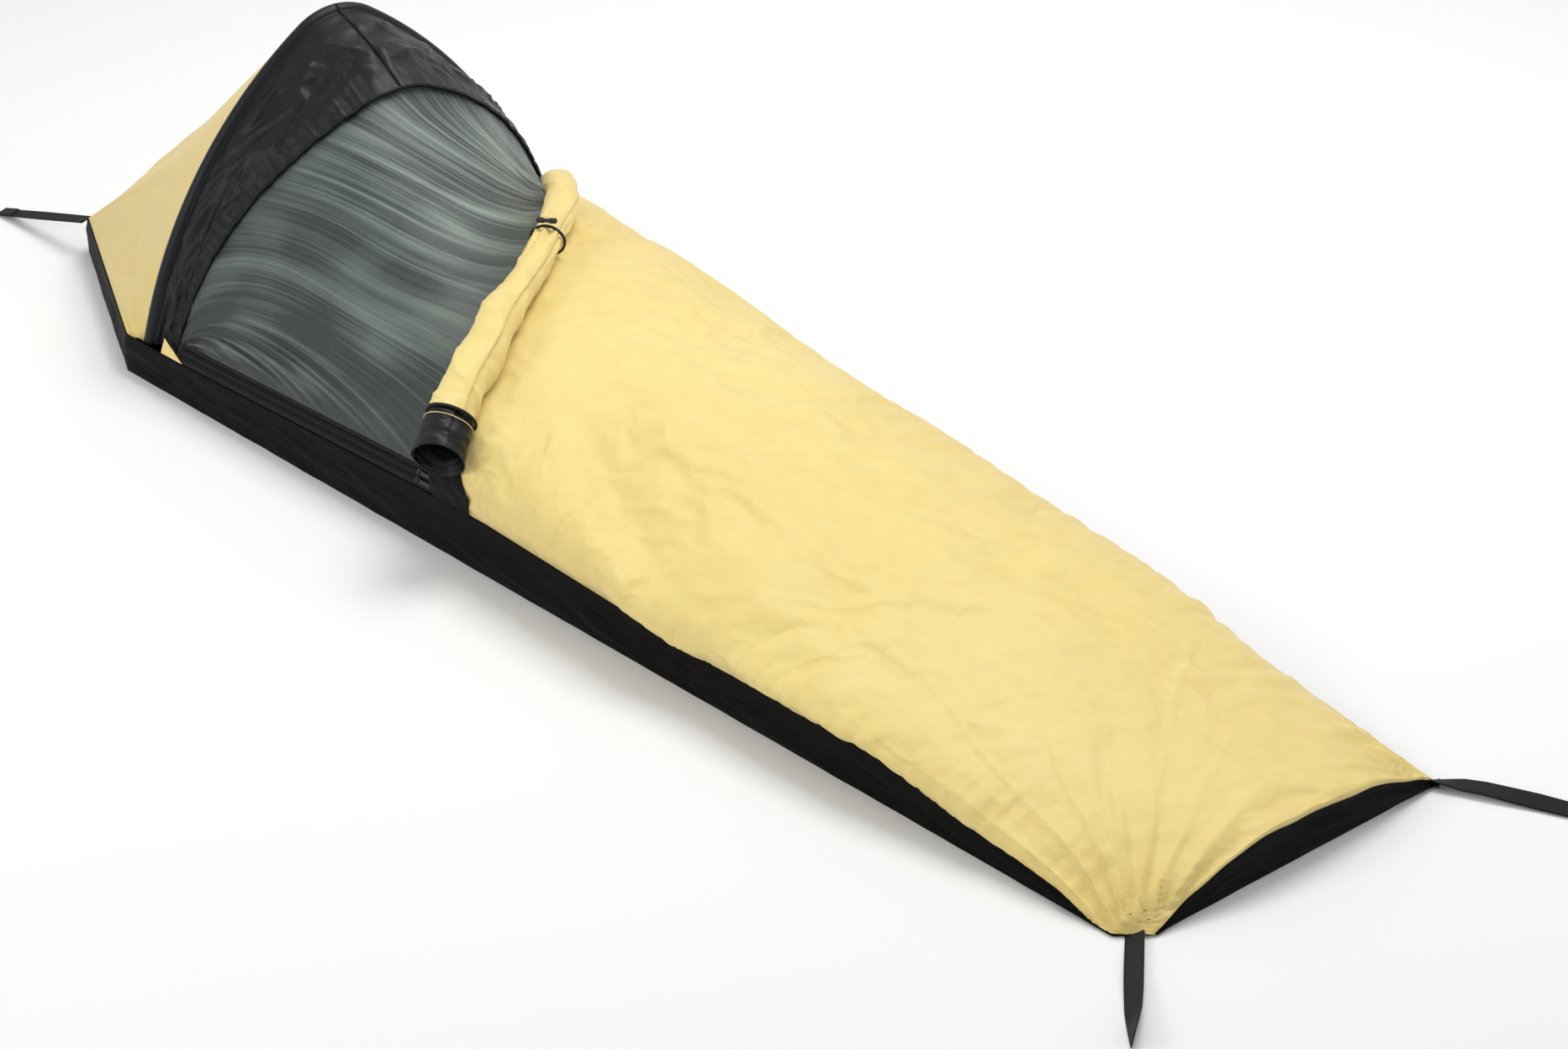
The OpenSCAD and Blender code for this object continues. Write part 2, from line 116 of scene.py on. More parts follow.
def noise(x, y, seed=0):
    """Smooth gradient noise in about -0.7..0.7, the same on every run."""
    if seed not in _tables:
        rng = np.random.RandomState(seed + 11)
        _tables[seed] = (rng.permutation(256), rng.uniform(0, 2 * math.pi, 256))
    perm, angle = _tables[seed]
    x, y = np.broadcast_arrays(np.asarray(x, float), np.asarray(y, float))
    xi, yi = np.floor(x).astype(int), np.floor(y).astype(int)
    xf, yf = x - xi, y - yi
    sx, sy = xf * xf * (3 - 2 * xf), yf * yf * (3 - 2 * yf)

    def corner(i, j):
        a = angle[perm[(perm[(xi + i) % 256] + yi + j) % 256]]
        return np.cos(a) * (xf - i) + np.sin(a) * (yf - j)

    low = mix(corner(0, 0), corner(1, 0), sx)
    high = mix(corner(0, 1), corner(1, 1), sx)
    return mix(low, high, sy)


def fractal(x, y, seed=0, octaves=3):
    return sum(noise(x * 2**k, y * 2**k, seed + k) / 2**k for k in range(octaves))


def creases(x, y, seed=0):
    """Sharp-crested folds from noise: 1 on a crease line, falling to 0 between."""
    return 1 - np.minimum(1, np.abs(noise(x, y, seed)) * 4.5)


def ridged(x, y, seed, sharp):
    """Narrow ridges of noise: 1 on a ridge line, 0 away from it."""
    return 1 - np.minimum(1, np.abs(noise(x, y, seed)) * sharp)


# ---------------------------------------------------------------- the sack's shape
NEAR_LINE = np.array(
    [
        [0, SHOULDER],
        [FOOT_X - 0.070, FOOT_HALF + 0.039],
        [FOOT_X - 0.026, FOOT_HALF + 0.036],
        [FOOT_X, FOOT_HALF + 0.002],
    ]
)
FAR_LINE = np.array([[0, SHOULDER], [FOOT_X - 0.270, FOOT_HALF + 0.002], [FOOT_X, FOOT_HALF]])


def half_width(x, line):
    x = np.asarray(x, float)
    head = mix(SHOULDER, HEAD_HALF, np.minimum(1.05, x / HEAD_X))
    return np.where(x < 0, head, np.interp(x, line[:, 0], line[:, 1]))


def wall_near(x):
    zips = 0.016 * (ramp(x, ZIP_X0, ZIP_X1) - ramp(x, 0.75, 1.10))
    return WALL + zips - (WALL - 0.006) * ramp(x, 1.40, 1.73)


def wall_far(x):
    return WALL - (WALL - 0.006) * ramp(x, 1.43, FOOT_X)


def crest(x):
    t = ramp(x, 0.45, FOOT_X)
    return mix(CREST, FOOT_TOP, t) + 0.010 * np.sin(math.pi * t)


def upper(x, w):
    """The stuffed upper at station x; w in degrees, 0 on the near side, 180 on the far side."""
    c, s = np.cos(np.radians(w)), np.maximum(np.sin(np.radians(w)), 0)
    a, near, e = np.abs(c), c > 0, ramp(x, 1.35, FOOT_X)
    half = np.where(near, half_width(x, NEAR_LINE), half_width(x, FAR_LINE)) - 0.002
    low = np.where(near, wall_near(x), wall_far(x)) + 0.002
    p = np.where(near, mix(0.8, 1.0, e), 1.0)
    q = mix(np.where(near, 0.9, 1.0), 2.0, e * e)
    out = np.where(near, mix(0.020, BULGE, ramp(x, 0.70, 1.10)) * (1 - e), 0.0) * 4 * s * (1 - s) * np.sqrt(a)
    y = np.where(near, -1.0, 1.0) * (a**p * half + out)
    z = low + (crest(x) - low) * s**q
    return np.stack(np.broadcast_arrays(np.asarray(x, float), y, z), -1)


def cut_x(w):
    c = np.cos(np.radians(w))
    y = np.where(c > 0, -0.3 * np.abs(c) ** 0.8, -0.3 * c)
    return np.maximum(0.150, 0.478 - 0.8 * y - 2.67 * np.maximum(0, y) ** 2)


def end_x(w):
    return FOOT_X - 0.001 + 0.006 * (1 - np.abs(np.cos(np.radians(w))) ** 1.6)


# hoop: a crown arc and two side arcs, tangent to each other
_rise = APEX_Z - TIP_Z - CROWN_R
SIDE_R = (_rise**2 + POLE_HALF**2 - CROWN_R**2) / (
    2 * (math.sin(END_A) * POLE_HALF - _rise * math.cos(END_A) - CROWN_R)
)
CROWN_A = math.asin((math.sin(END_A) * SIDE_R - POLE_HALF) / (SIDE_R - CROWN_R))
CROWN_Z = APEX_Z - CROWN_R
SIDE_Y = (SIDE_R - CROWN_R) * math.sin(CROWN_A)
SIDE_Z = CROWN_Z - (SIDE_R - CROWN_R) * math.cos(CROWN_A)
CROWN_LEN = CROWN_R * CROWN_A
HALF_LEN = CROWN_LEN + SIDE_R * (END_A - CROWN_A)


def hoop(v, o=0.0):
    """Point of the hoop at fraction v of its half length (-1 near tip, 0 apex, 1 far tip), o outside it."""
    v, o = np.broadcast_arrays(np.asarray(v, float), np.asarray(o, float))
    s = np.abs(v) * HALF_LEN
    crown = s < CROWN_LEN
    g = np.where(crown, s / CROWN_R, CROWN_A + (s - CROWN_LEN) / SIDE_R)
    y = np.where(crown, (CROWN_R + o) * np.sin(g), (SIDE_R + o) * np.sin(g) - SIDE_Y)
    z = np.where(crown, CROWN_Z + (CROWN_R + o) * np.cos(g), SIDE_Z + (SIDE_R + o) * np.cos(g))
    return np.stack([np.full_like(y, HOOP_X), np.sign(v) * y, z], -1)


def lift(v):
    """Height of the hoop at v as a share of its rise."""
    return clamp((hoop(v)[..., 2] - TIP_Z) / (APEX_Z - TIP_Z))


def brim_edge_offset(v):
    t = lift(v)
    return np.stack(
        [
            BRIM_L * (0.3 + 0.7 * t**1.5),
            -np.sign(v) * 0.009 * (1 - t),
            -BRIM_L * 0.44 * t * t,
        ],
        -1,
    )


BACK_END = 0.985  # the hood back leaves the hoop up to here, as a share of the hoop's half length


def back_foot(v):
    """Lower end of the hood-back line that leaves the hoop at v: along the head edge, then back on the wall."""
    g = 2 * np.abs(v) / BACK_END
    m = np.sign(v) * (1 - (1 - clamp(g)) ** 2.6)
    x = mix(HEAD_X + 0.003, HOOP_X - 0.022, clamp(g - 1) ** 1.2)
    return np.stack([x, m * (half_width(x, NEAR_LINE) - 0.0042), np.full_like(x, WALL + 0.001)], -1)


def hood_back(u, v):
    u, v = np.broadcast_arrays(np.asarray(u, float), np.asarray(v, float))
    start = hoop(v, 0.003) - [0.009, 0, 0]
    return mix(start, back_foot(v), u[..., None])


# side zips: a straight band on top of the near wall
BAND = math.radians(70)
ZIP_UP = np.array([0, math.cos(BAND), math.sin(BAND)])


def zip_line(x):
    x = np.asarray(x, float)
    return np.stack([x, -half_width(x, NEAR_LINE) + 0.002, wall_near(x) + 0.0015], -1)


ZIP_D = unit(zip_line(ZIP_X1) - zip_line(ZIP_X0))
ZIP_OUT = np.cross(ZIP_D, ZIP_UP)

# rolled door
ROLL_SQUASH = 0.82
ROLL_W = [20, 68, 90, 97, 110, 130]
CUFF_END_W, TIE_W, ROLL_END_W = 38.4, 94, 126
ROLL_RS = [ROLL_R, ROLL_R - 0.004, ROLL_R - 0.012, ROLL_R - 0.012, ROLL_R - 0.007, ROLL_R - 0.009]


def roll_radius(w):
    return np.interp(w, ROLL_W, ROLL_RS)


def roll_centre(w):
    w = np.asarray(w, float)
    out = np.stack([0 * w, -0.8 * np.cos(np.radians(w)), np.sin(np.radians(w))], -1)
    return upper(cut_x(w), w) + unit(out) * (roll_radius(w) + 0.003)[..., None]


# ---------------------------------------------------------------- mesh building
def grid_normals(P):
    du = np.gradient(P, axis=0)
    dv = np.gradient(P, axis=1)
    return unit(np.cross(du, dv))


def push(P, d):
    """Moves a grid along its normals by d."""
    return P + grid_normals(P) * np.asarray(d)[..., None]


def cloth_uv(P):
    """UVs in metres, from arc length along both grid directions."""
    lu = np.linalg.norm(np.diff(P, axis=0), axis=-1).mean(axis=1)
    lv = np.linalg.norm(np.diff(P, axis=1), axis=-1).mean(axis=0)
    u = np.concatenate([[0], np.cumsum(lu)])
    v = np.concatenate([[0], np.cumsum(lv)])
    return np.stack(np.meshgrid(u, v, indexing="ij"), -1)


def grid_object(name, P, material, close_v=False, flip=False, thick=SKIN, marks=None):
    """A sheet from a grid of points; marks are named values per point for its material."""
    n, m = P.shape[:2]
    uv = cloth_uv(P)
    i, j = np.meshgrid(np.arange(n - 1), np.arange(m if close_v else m - 1), indexing="ij")
    k = (j + 1) % m
    quads = np.stack([i * m + j, (i + 1) * m + j, (i + 1) * m + k, i * m + k], -1).reshape(-1, 4)
    if flip:
        quads = quads[:, ::-1]
    mesh = bpy.data.meshes.new(name)
    mesh.from_pydata(P.reshape(-1, 3).tolist(), [], quads.tolist())
    layer = mesh.uv_layers.new(name="cloth")
    index = np.empty(len(mesh.loops), dtype=np.int32)
    mesh.loops.foreach_get("vertex_index", index)
    layer.data.foreach_set("uv", uv.reshape(-1, 2)[index].astype(np.float32).ravel())
    mesh.polygons.foreach_set("use_smooth", np.ones(len(mesh.polygons), dtype=bool))
    for key, values in (marks or {}).items():
        mesh.attributes.new(key, "FLOAT", "POINT").data.foreach_set("value", values.astype(np.float32).ravel())
    mesh.update()
    obj = add_object(name, mesh)
    if material:
        mesh.materials.append(material)
    if thick:
        solid = obj.modifiers.new("thickness", "SOLIDIFY")
        solid.thickness = thick
        solid.offset = -1
    return obj


def distances(curve):
    """Distance along a curve at each of its points."""
    return np.concatenate([[0], np.cumsum(np.linalg.norm(np.diff(curve, axis=0), axis=1))])


def follow(at, places, curve):
    """Points of a curve, whose own points are at the given places along it."""
    return np.stack([np.interp(at, places, curve[:, k]) for k in range(3)], -1)


def unit_grid(n, m):
    return np.meshgrid(np.linspace(0, 1, n), np.linspace(0, 1, m), indexing="ij")


def add_object(name, data):
    obj = bpy.data.objects.new(name, data)
    bpy.context.scene.collection.objects.link(obj)
    return obj


def frames(path):
    """Tangent and two cross directions at each point of a path."""
    t = unit(np.gradient(path, axis=0))
    a = unit(np.cross(t, np.array([0.31, 0.2, 0.93])))
    return t, a, np.cross(t, a)


def tube_object(name, path, radius, material, sides=12, caps=True):
    path = np.asarray(path, float)
    _, a, b = frames(path)
    f = np.linspace(0, 2 * math.pi, sides, endpoint=False)
    r = np.broadcast_to(np.asarray(radius, float), (len(path),))
    ring = a[:, None] * np.cos(f)[None, :, None] + b[:, None] * np.sin(f)[None, :, None]
    P = path[:, None] + ring * r[:, None, None]
    if caps:
        P = np.concatenate([np.repeat(path[:1, None], sides, 1), P, np.repeat(path[-1:, None], sides, 1)])
    return grid_object(name, P, material, close_v=True, flip=True, thick=0)


def merge(name, objects):
    """One object from several, modifiers applied first."""
    depsgraph = bpy.context.evaluated_depsgraph_get()
    for o in objects:
        mesh = bpy.data.meshes.new_from_object(o.evaluated_get(depsgraph))
        o.modifiers.clear()
        o.data = mesh
    with bpy.context.temp_override(active_object=objects[0], selected_editable_objects=objects):
        bpy.ops.object.join()
    objects[0].name = name
    return objects[0]


def ribbon(name, path, across, width, material):
    """Flat webbing along a path; across gives the direction of its width at each point."""
    half = np.linspace(-0.5, 0.5, 7)[None, :, None] * width
    P = np.asarray(path)[:, None] + unit(across)[:, None] * half
    return grid_object(name, P, material, thick=0.0014)


def drape(P, steps, pressure, slack, cap):
    """Cloth simulation of a sheet held along its edges: it swells and puckers; returns the moved grid."""
    n, m = P.shape[:2]
    sheet = grid_object("drape", P, None, thick=0)
    index = np.arange(n * m).reshape(n, m)
    held = np.unique(np.concatenate([index[0], index[-1], index[:, 0], index[:, -1]]))
    group = sheet.vertex_groups.new(name="held")
    group.add([int(k) for k in held], 1.0, "REPLACE")
    cloth = sheet.modifiers.new("cloth", "CLOTH")
    cloth.settings.vertex_group_mass = "held"
    cloth.settings.quality = 6
    cloth.settings.mass = 0.05
    cloth.settings.tension_stiffness = 15
    cloth.settings.compression_stiffness = 15
    cloth.settings.shear_stiffness = 5
    cloth.settings.bending_stiffness = 0.05
    cloth.settings.shrink_min = -slack
    cloth.settings.use_pressure = True
    cloth.settings.uniform_pressure_force = pressure
    cloth.settings.effector_weights.gravity = 0
    cloth.collision_settings.use_collision = False
    cloth.point_cache.frame_start = 1
    cloth.point_cache.frame_end = steps
    for frame_number in range(1, steps + 1):
        bpy.context.scene.frame_set(frame_number)
    result = sheet.evaluated_get(bpy.context.evaluated_depsgraph_get()).to_mesh()
    flat = np.empty(n * m * 3, dtype=np.float32)
    result.vertices.foreach_get("co", flat)
    bpy.data.objects.remove(sheet)
    bpy.context.scene.frame_set(1)
    d = flat.reshape(P.shape).astype(float) - P
    size = np.linalg.norm(d, axis=-1, keepdims=True)
    return P + d * (cap * np.tanh(size / cap) / np.maximum(size, 1e-9))


def spanning(obj, node):
    """Bakes the transform of a piece that reaches from the sack to the hoop into its mesh, and hides the solid it
    stands for.
    """
    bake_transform(obj)
    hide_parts(node)


def shown(obj, body, slot, *nodes):
    """Ties a piece to its body and hides the solids it stands for; slot is not used."""
    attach(obj, body)
    if nodes:
        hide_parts(*nodes)


# ---------------------------------------------------------------- materials
class Nodes:
    """A thin wrapper to write node trees briefly."""

    def __init__(self, name):
        self.mat = bpy.data.materials.new(name)
        self.mat.use_nodes = True
        self.tree = self.mat.node_tree
        self.bsdf = self.tree.nodes["Principled BSDF"]
        self.out = self.tree.nodes["Material Output"]

    def add(self, kind, inputs=None, **props):
        node = self.tree.nodes.new("ShaderNode" + kind)
        for key, value in props.items():
            setattr(node, key, value)
        for key, value in (inputs or {}).items():
            if isinstance(value, bpy.types.NodeSocket):
                self.tree.links.new(value, node.inputs[key])
            else:
                node.inputs[key].default_value = value
        return node

    def link(self, a, b):
        self.tree.links.new(a, b)

    def math(self, op, a, b=0.0, c=0.0, clamp_it=False):
        return self.add("Math", {0: a, 1: b, 2: c}, operation=op, use_clamp=clamp_it).outputs[0]

    def noise(self, vector, scale, detail=3.0, rough=0.5):
        node = self.add("TexNoise", {"Vector": vector, "Scale": scale, "Detail": detail, "Roughness": rough})
        return node.outputs["Fac"]

    def coords(self, kind):
        return self.add("TexCoord").outputs[kind]

    def bump(self, height, strength, distance):
        node = self.add("Bump", {"Height": height, "Strength": strength, "Distance": distance})
        return node.outputs["Normal"]

    def set(self, **values):
        for key, value in values.items():
            socket = self.bsdf.inputs[key.replace("_", " ")]
            if isinstance(value, bpy.types.NodeSocket):
                self.link(value, socket)
            else:
                socket.default_value = value


def mix_socket(m, fac, a, b):
    node = m.add("Mix", {"Factor": fac}, data_type="RGBA")
    for key, value in (("A", a), ("B", b)):
        socket = [s for s in node.inputs if s.name == key and s.type == "RGBA"][0]
        if isinstance(value, bpy.types.NodeSocket):
            m.link(value, socket)
        else:
            socket.default_value = value
    return [s for s in node.outputs if s.type == "RGBA"][0]


def rgb(r, g, b):
    """An sRGB colour in 0..255 as a linear colour."""
    lin = [((c / 255 + 0.055) / 1.055) ** 2.4 if c > 10 else c / 255 / 12.92 for c in (r, g, b)]
    return (*lin, 1.0)


def thread_lines(m, uv, axis, count):
    """0..1 ridges across one UV axis, count per metre."""
    xyz = m.add("SeparateXYZ", {"Vector": uv})
    t = m.math("MULTIPLY", xyz.outputs[axis], count * 2 * math.pi)
    return m.math("MULTIPLY_ADD", m.math("SINE", t), 0.5, 0.5)


def grid_ridge(m, uv, axis, pitch, width):
    """1 on the thick threads of a ripstop, pitch metres apart."""
    xyz = m.add("SeparateXYZ", {"Vector": uv})
    f = m.math("FRACT", m.math("DIVIDE", xyz.outputs[axis], pitch))
    return m.math("LESS_THAN", m.math("ABSOLUTE", m.math("SUBTRACT", f, 0.5)), width / pitch / 2)


def ripstop(name, dark, light, rough, sheen, crinkle, grid=0.0052, spec=0.5, translucent=0.0):
    """Coated ripstop: weave, thick-thread grid, crinkles, soft colour drift."""
    m = Nodes(name)
    uv = m.coords("UV")
    obj = m.coords("Object")
    drift = m.noise(obj, 2.2, 4.0, 0.55)
    fine = m.noise(obj, 38.0, 3.0, 0.6)
    tone = m.math("MULTIPLY_ADD", fine, 0.35, m.math("MULTIPLY", drift, 0.65))
    tone = m.math("MULTIPLY_ADD", m.math("SUBTRACT", tone, 0.5), 1.9, 0.5, clamp_it=True)
    grid_mask = m.math("MAXIMUM", grid_ridge(m, uv, 0, grid, 0.0005), grid_ridge(m, uv, 1, grid, 0.0005))
    color = mix_socket(m, tone, dark, light)
    color = mix_socket(m, m.math("MULTIPLY", grid_mask, 0.10), color, tuple(c * 0.72 for c in dark[:3]) + (1,))
    weave = m.math("MULTIPLY", thread_lines(m, uv, 0, 2600), thread_lines(m, uv, 1, 2600))
    height = m.math("MULTIPLY_ADD", weave, 0.05, m.math("MULTIPLY", grid_mask, 0.10))
    crumple = m.noise(obj, 55.0, 5.0, 0.6)
    soft = m.noise(obj, 16.0, 4.0, 0.55)
    height = m.math("MULTIPLY_ADD", crumple, 0.9 * crinkle, height)
    height = m.math("MULTIPLY_ADD", soft, 2.4 * crinkle, height)
    normal = m.bump(height, 0.55, 0.0016)
    rough_v = m.math("MULTIPLY_ADD", fine, 0.16, rough - 0.08)
    m.set(Base_Color=color, Roughness=rough_v, Normal=normal)
    m.set(Specular_IOR_Level=spec, Sheen_Weight=sheen, Sheen_Roughness=0.4)
    if translucent:
        glow = m.add("BsdfTranslucent", {"Color": color, "Normal": normal})
        both = m.add("MixShader", {0: translucent, 1: m.bsdf.outputs[0], 2: glow.outputs[0]})
        m.link(both.outputs[0], m.out.inputs["Surface"])
    return m.mat


def net(name):
    """Fine insect net: threads with holes between them, with painted silvery highlights on the crests of its folds
    and along its pull lines.
    """
    m = Nodes(name)
    uv = m.coords("UV")
    obj = m.coords("Object")
    # the first value per point is the net's tone with a painted highlight on its fold crests
    fold, pull, rake = (
        m.add("Attribute", attribute_name=key, attribute_type="GEOMETRY").outputs["Fac"]
        for key in ("fold", "pull", "rake")
    )
    along_u = m.add("SeparateXYZ", {"Vector": uv}).outputs[0]
    # two sets of pale pull lines, painted highlights along the pull folds: how many, how fast they change along their
    # length, how thin, how strong
    lines = 0.0
    for count, drift_along, sharp, weight in ((34, 0.9, 15.0, 0.52), (90, 1.4, 13.0, 0.52)):
        across, length = m.math("MULTIPLY", pull, count), m.math("MULTIPLY", along_u, drift_along)
        place = m.add("CombineXYZ", {0: across, 1: length, 2: count}).outputs[0]
        off = m.math("ABSOLUTE", m.math("SUBTRACT", m.noise(place, 1.0, 1.0, 0.4), 0.5))
        ridge = m.math("SUBTRACT", 1.0, m.math("MULTIPLY", off, sharp), clamp_it=True)
        lines = m.math("MULTIPLY_ADD", ridge, weight, lines)
    raked = m.math("MULTIPLY", lines, rake)
    drift = m.noise(obj, 5.0, 4.0, 0.6)
    fine = m.noise(obj, 60.0, 3.0, 0.6)
    # colour share: random drift plus the painted highlights of fold crests and pull lines, mixed from a dark net
    # colour towards a pale silvery one
    drift_and_highlight = m.math("MULTIPLY_ADD", m.math("SUBTRACT", drift, 0.5), 0.45, m.math("ADD", fold, raked))
    drift_and_highlight = m.math("ADD", drift_and_highlight, 0.12, clamp_it=True)
    color = mix_socket(m, drift_and_highlight, rgb(42, 51, 47), rgb(142, 156, 146))
    cell = m.math("MAXIMUM", thread_lines(m, uv, 0, 900), thread_lines(m, uv, 1, 900))
    height = m.math("MULTIPLY_ADD", fine, 0.4, m.math("MULTIPLY", cell, 0.2))
    height = m.math("MULTIPLY_ADD", raked, 1.6, height)
    normal = m.bump(height, 0.5, 0.0014)
    m.set(Base_Color=color, Roughness=0.38, Normal=normal)
    m.set(Specular_IOR_Level=0.55, Sheen_Weight=0.30, Sheen_Roughness=0.35)
    clear = m.add("BsdfTransparent")
    holes = m.math("MULTIPLY", m.math("SUBTRACT", 1.0, cell), 0.25)
    both = m.add("MixShader", {0: holes, 1: m.bsdf.outputs[0], 2: clear.outputs[0]})
    m.link(both.outputs[0], m.out.inputs["Surface"])
    return m.mat


def webbing(name, dark, light):
    """Woven narrow webbing: chevron weave across its width."""
    m = Nodes(name)
    uv = m.coords("UV")
    xyz = m.add("SeparateXYZ", {"Vector": uv})
    across = m.math("MULTIPLY", xyz.outputs[1], 1 / 0.0035)
    along = m.math("MULTIPLY", xyz.outputs[0], 1 / 0.0018)
    zig = m.math("PINGPONG", across, 0.5)
    ridge = m.math("SINE", m.math("MULTIPLY", m.math("ADD", along, zig), 2 * math.pi))
    ribs = m.math("MULTIPLY_ADD", ridge, 0.5, 0.5)
    cords = thread_lines(m, uv, 1, 700)
    fine = m.noise(m.coords("Object"), 90.0, 4.0, 0.6)
    color = mix_socket(m, m.math("MULTIPLY_ADD", ribs, 0.5, m.math("MULTIPLY", fine, 0.5)), dark, light)
    height = m.math("MULTIPLY_ADD", ribs, 0.6, m.math("MULTIPLY", cords, 0.4))
    normal = m.bump(height, 0.7, 0.0005)
    m.set(Base_Color=color, Roughness=0.66, Normal=normal, Specular_IOR_Level=0.25)
    return m.mat


def plain(name, dark, light, rough, metal=0.0, scale=60.0, bump_it=0.15):
    """Moulded plastic, metal or cord: small colour and roughness variation over a faint texture."""
    m = Nodes(name)
    obj = m.coords("Object")
    fine = m.noise(obj, scale, 4.0, 0.6)
    grain = m.noise(obj, scale * 9, 2.0, 0.5)
    color = mix_socket(m, fine, dark, light)
    normal = m.bump(grain, bump_it, 0.0002)
    m.set(Base_Color=color, Metallic=metal, Normal=normal)
    m.set(Roughness=m.math("MULTIPLY_ADD", fine, 0.2, rough - 0.1))
    return m.mat


YELLOW = ripstop("shell_ripstop", rgb(238, 208, 118), rgb(250, 230, 152), 0.46, 0.22, 1.0, translucent=0.10)
# the same shell ripstop, darker, for the hood back: painted shade, since the hood back faces away from the light
YELLOW_SHADED = ripstop("shell_ripstop_hood", rgb(226, 198, 118), rgb(240, 216, 138), 0.48, 0.20, 0.7, translucent=0.05)
BLACK_BRIM = ripstop("brim_taffeta", rgb(5, 7, 10), rgb(13, 16, 21), 0.33, 0.0, 0.9, spec=0.30)
BLACK_TUB = ripstop("floor_coated", rgb(4, 3, 3), rgb(10, 9, 8), 0.58, 0.0, 1.2, grid=0.006, spec=0.10)
TAPE = ripstop("seam_film", rgb(52, 54, 56), rgb(70, 72, 74), 0.35, 0.0, 0.3)
NET = net("insect_net")
WEB = webbing("stake_webbing", rgb(9, 11, 10), rgb(30, 33, 31))
ZIP_TAPE = webbing("zip_tape", rgb(4, 4, 5), rgb(14, 14, 15))
COIL = plain("nylon_coil", rgb(5, 5, 6), rgb(14, 14, 15), 0.42)
PLASTIC = plain("moulded_plastic", rgb(18, 19, 19), rgb(34, 36, 35), 0.42)
CORD = plain("braided_cord", rgb(14, 14, 15), rgb(36, 36, 38), 0.7, scale=300.0, bump_it=0.6)
SHOCK = plain("shock_cord_braid", rgb(190, 192, 186), rgb(226, 228, 222), 0.7, scale=300.0, bump_it=0.6)
TUBE = plain("anodised_tube", rgb(150, 154, 160), rgb(176, 180, 186), 0.32, metal=1.0, scale=30.0)
THREAD = plain("sewing_thread", rgb(12, 12, 12), rgb(40, 40, 40), 0.6, scale=400.0, bump_it=0.5)
PALE_THREAD = plain("pale_thread", rgb(206, 186, 120), rgb(236, 220, 160), 0.55, scale=400.0, bump_it=0.5)


# ---------------------------------------------------------------- tub
def foot_lump(y):
    """Slack waves of the seam over the foot wall."""
    return 0.0055 * (noise(y * 11, 0.3, 17) + 0.5 * noise(y * 27, 0.7, 18)) * (1 - smooth(np.abs(y), 0.15, 0.205))


def perimeter():
    """Outline of the floor as (points, outward normals, wall tops)."""
    near = NEAR_LINE * [1, -1]
    corners = np.concatenate(
        [[[HEAD_X, -HEAD_HALF]], near, FAR_LINE[::-1], [[HEAD_X, HEAD_HALF]], [[HEAD_X, -HEAD_HALF]]]
    )
    counts = [44, 260, 12, 8, 90, 40, 190, 44, 36]
    p = np.concatenate(
        [mix(a, b, np.linspace(0, 1, n, endpoint=False)[:, None]) for a, b, n in zip(corners, corners[1:], counts)]
    )
    top = np.where(p[:, 1] < 0, wall_near(p[:, 0]), wall_far(p[:, 0]))
    at_foot = p[:, 0] > FOOT_X - 1e-6
    w = np.degrees(np.arccos(np.clip(-p[:, 1] / FOOT_HALF, -1, 1) * 0.999))
    foot_top = upper(np.full(len(p), FOOT_X), w)[:, 2] - 0.002 + foot_lump(p[:, 1])
    top = np.where(at_foot, np.maximum(foot_top, 0.004), top)
    top = top - 0.002 * smooth(p[:, 0], 1.68, 1.74)
    t = unit(np.roll(p, -1, 0) - np.roll(p, 1, 0))
    out = np.stack([t[:, 1], -t[:, 0]], -1)
    return p, out, top


def build_tub():
    p, out, top = perimeter()
    s = distances(p)
    rows = []
    for h in np.linspace(0, 1, 17):
        # the wall bellies, ripples and crumples between the floor and its seam
        free = math.sin(math.pi * h)
        slack = 0.0045 * free * (0.5 + noise(s * 6, h * 1.5, 3))
        ripple = 0.0030 * noise(s * 21 + 6 * h, h * 2.0, 5) * math.sin(math.pi * min(1, h + 0.12))
        crumple = 0.0034 * (creases(s * 5 + h * 3, h * 2.2, 8) - 0.5) * free
        d = slack + ripple + crumple - 0.0025 * h
        rows.append(np.column_stack([p + out * d[:, None], 0.0006 + top * h]))
    # under the floor it goes on inwards as a flat rim
    inner = []
    for q in (0.004, 0.02, 0.06, 0.14, 0.24):
        shrink = p * (1 - q) + np.array([0.5, 0]) * q
        inner.append(np.column_stack([shrink, np.full(len(p), 0.0004)]))
    P = np.stack(inner[::-1] + rows).transpose(1, 0, 2)
    P = np.concatenate([P, P[:1]])
    return grid_object("tub_wall", P, BLACK_TUB, flip=True), P


def build_wall_tape(wall):
    """Seam film inside the wall top along both sides, clear of the hoop and of the foot corners."""
    inner = push(wall, -0.0022)[:, -6:-1]
    near, far = slice(62, 300), slice(456, 628)
    strips = [grid_object("wall_seam_film", inner[part], TAPE, thick=FILM) for part in (near, far)]
    return merge("wall_seam_film", strips)


def floor_sheet():
    x = np.linspace(HEAD_X + 0.004, FOOT_X - 0.002, 220)
    lo, hi = -half_width(x, NEAR_LINE) + 0.004, half_width(x, FAR_LINE) - 0.004
    y = mix(lo[:, None], hi[:, None], np.linspace(0, 1, 60)[None])
    z = 0.0012 + 0.0016 * clamp(fractal(x[:, None] * 9, y * 9, 21) + 0.2)
    P = np.stack([np.broadcast_to(x[:, None], y.shape), y, z], -1)
    return grid_object("tub_floor", P, BLACK_TUB)


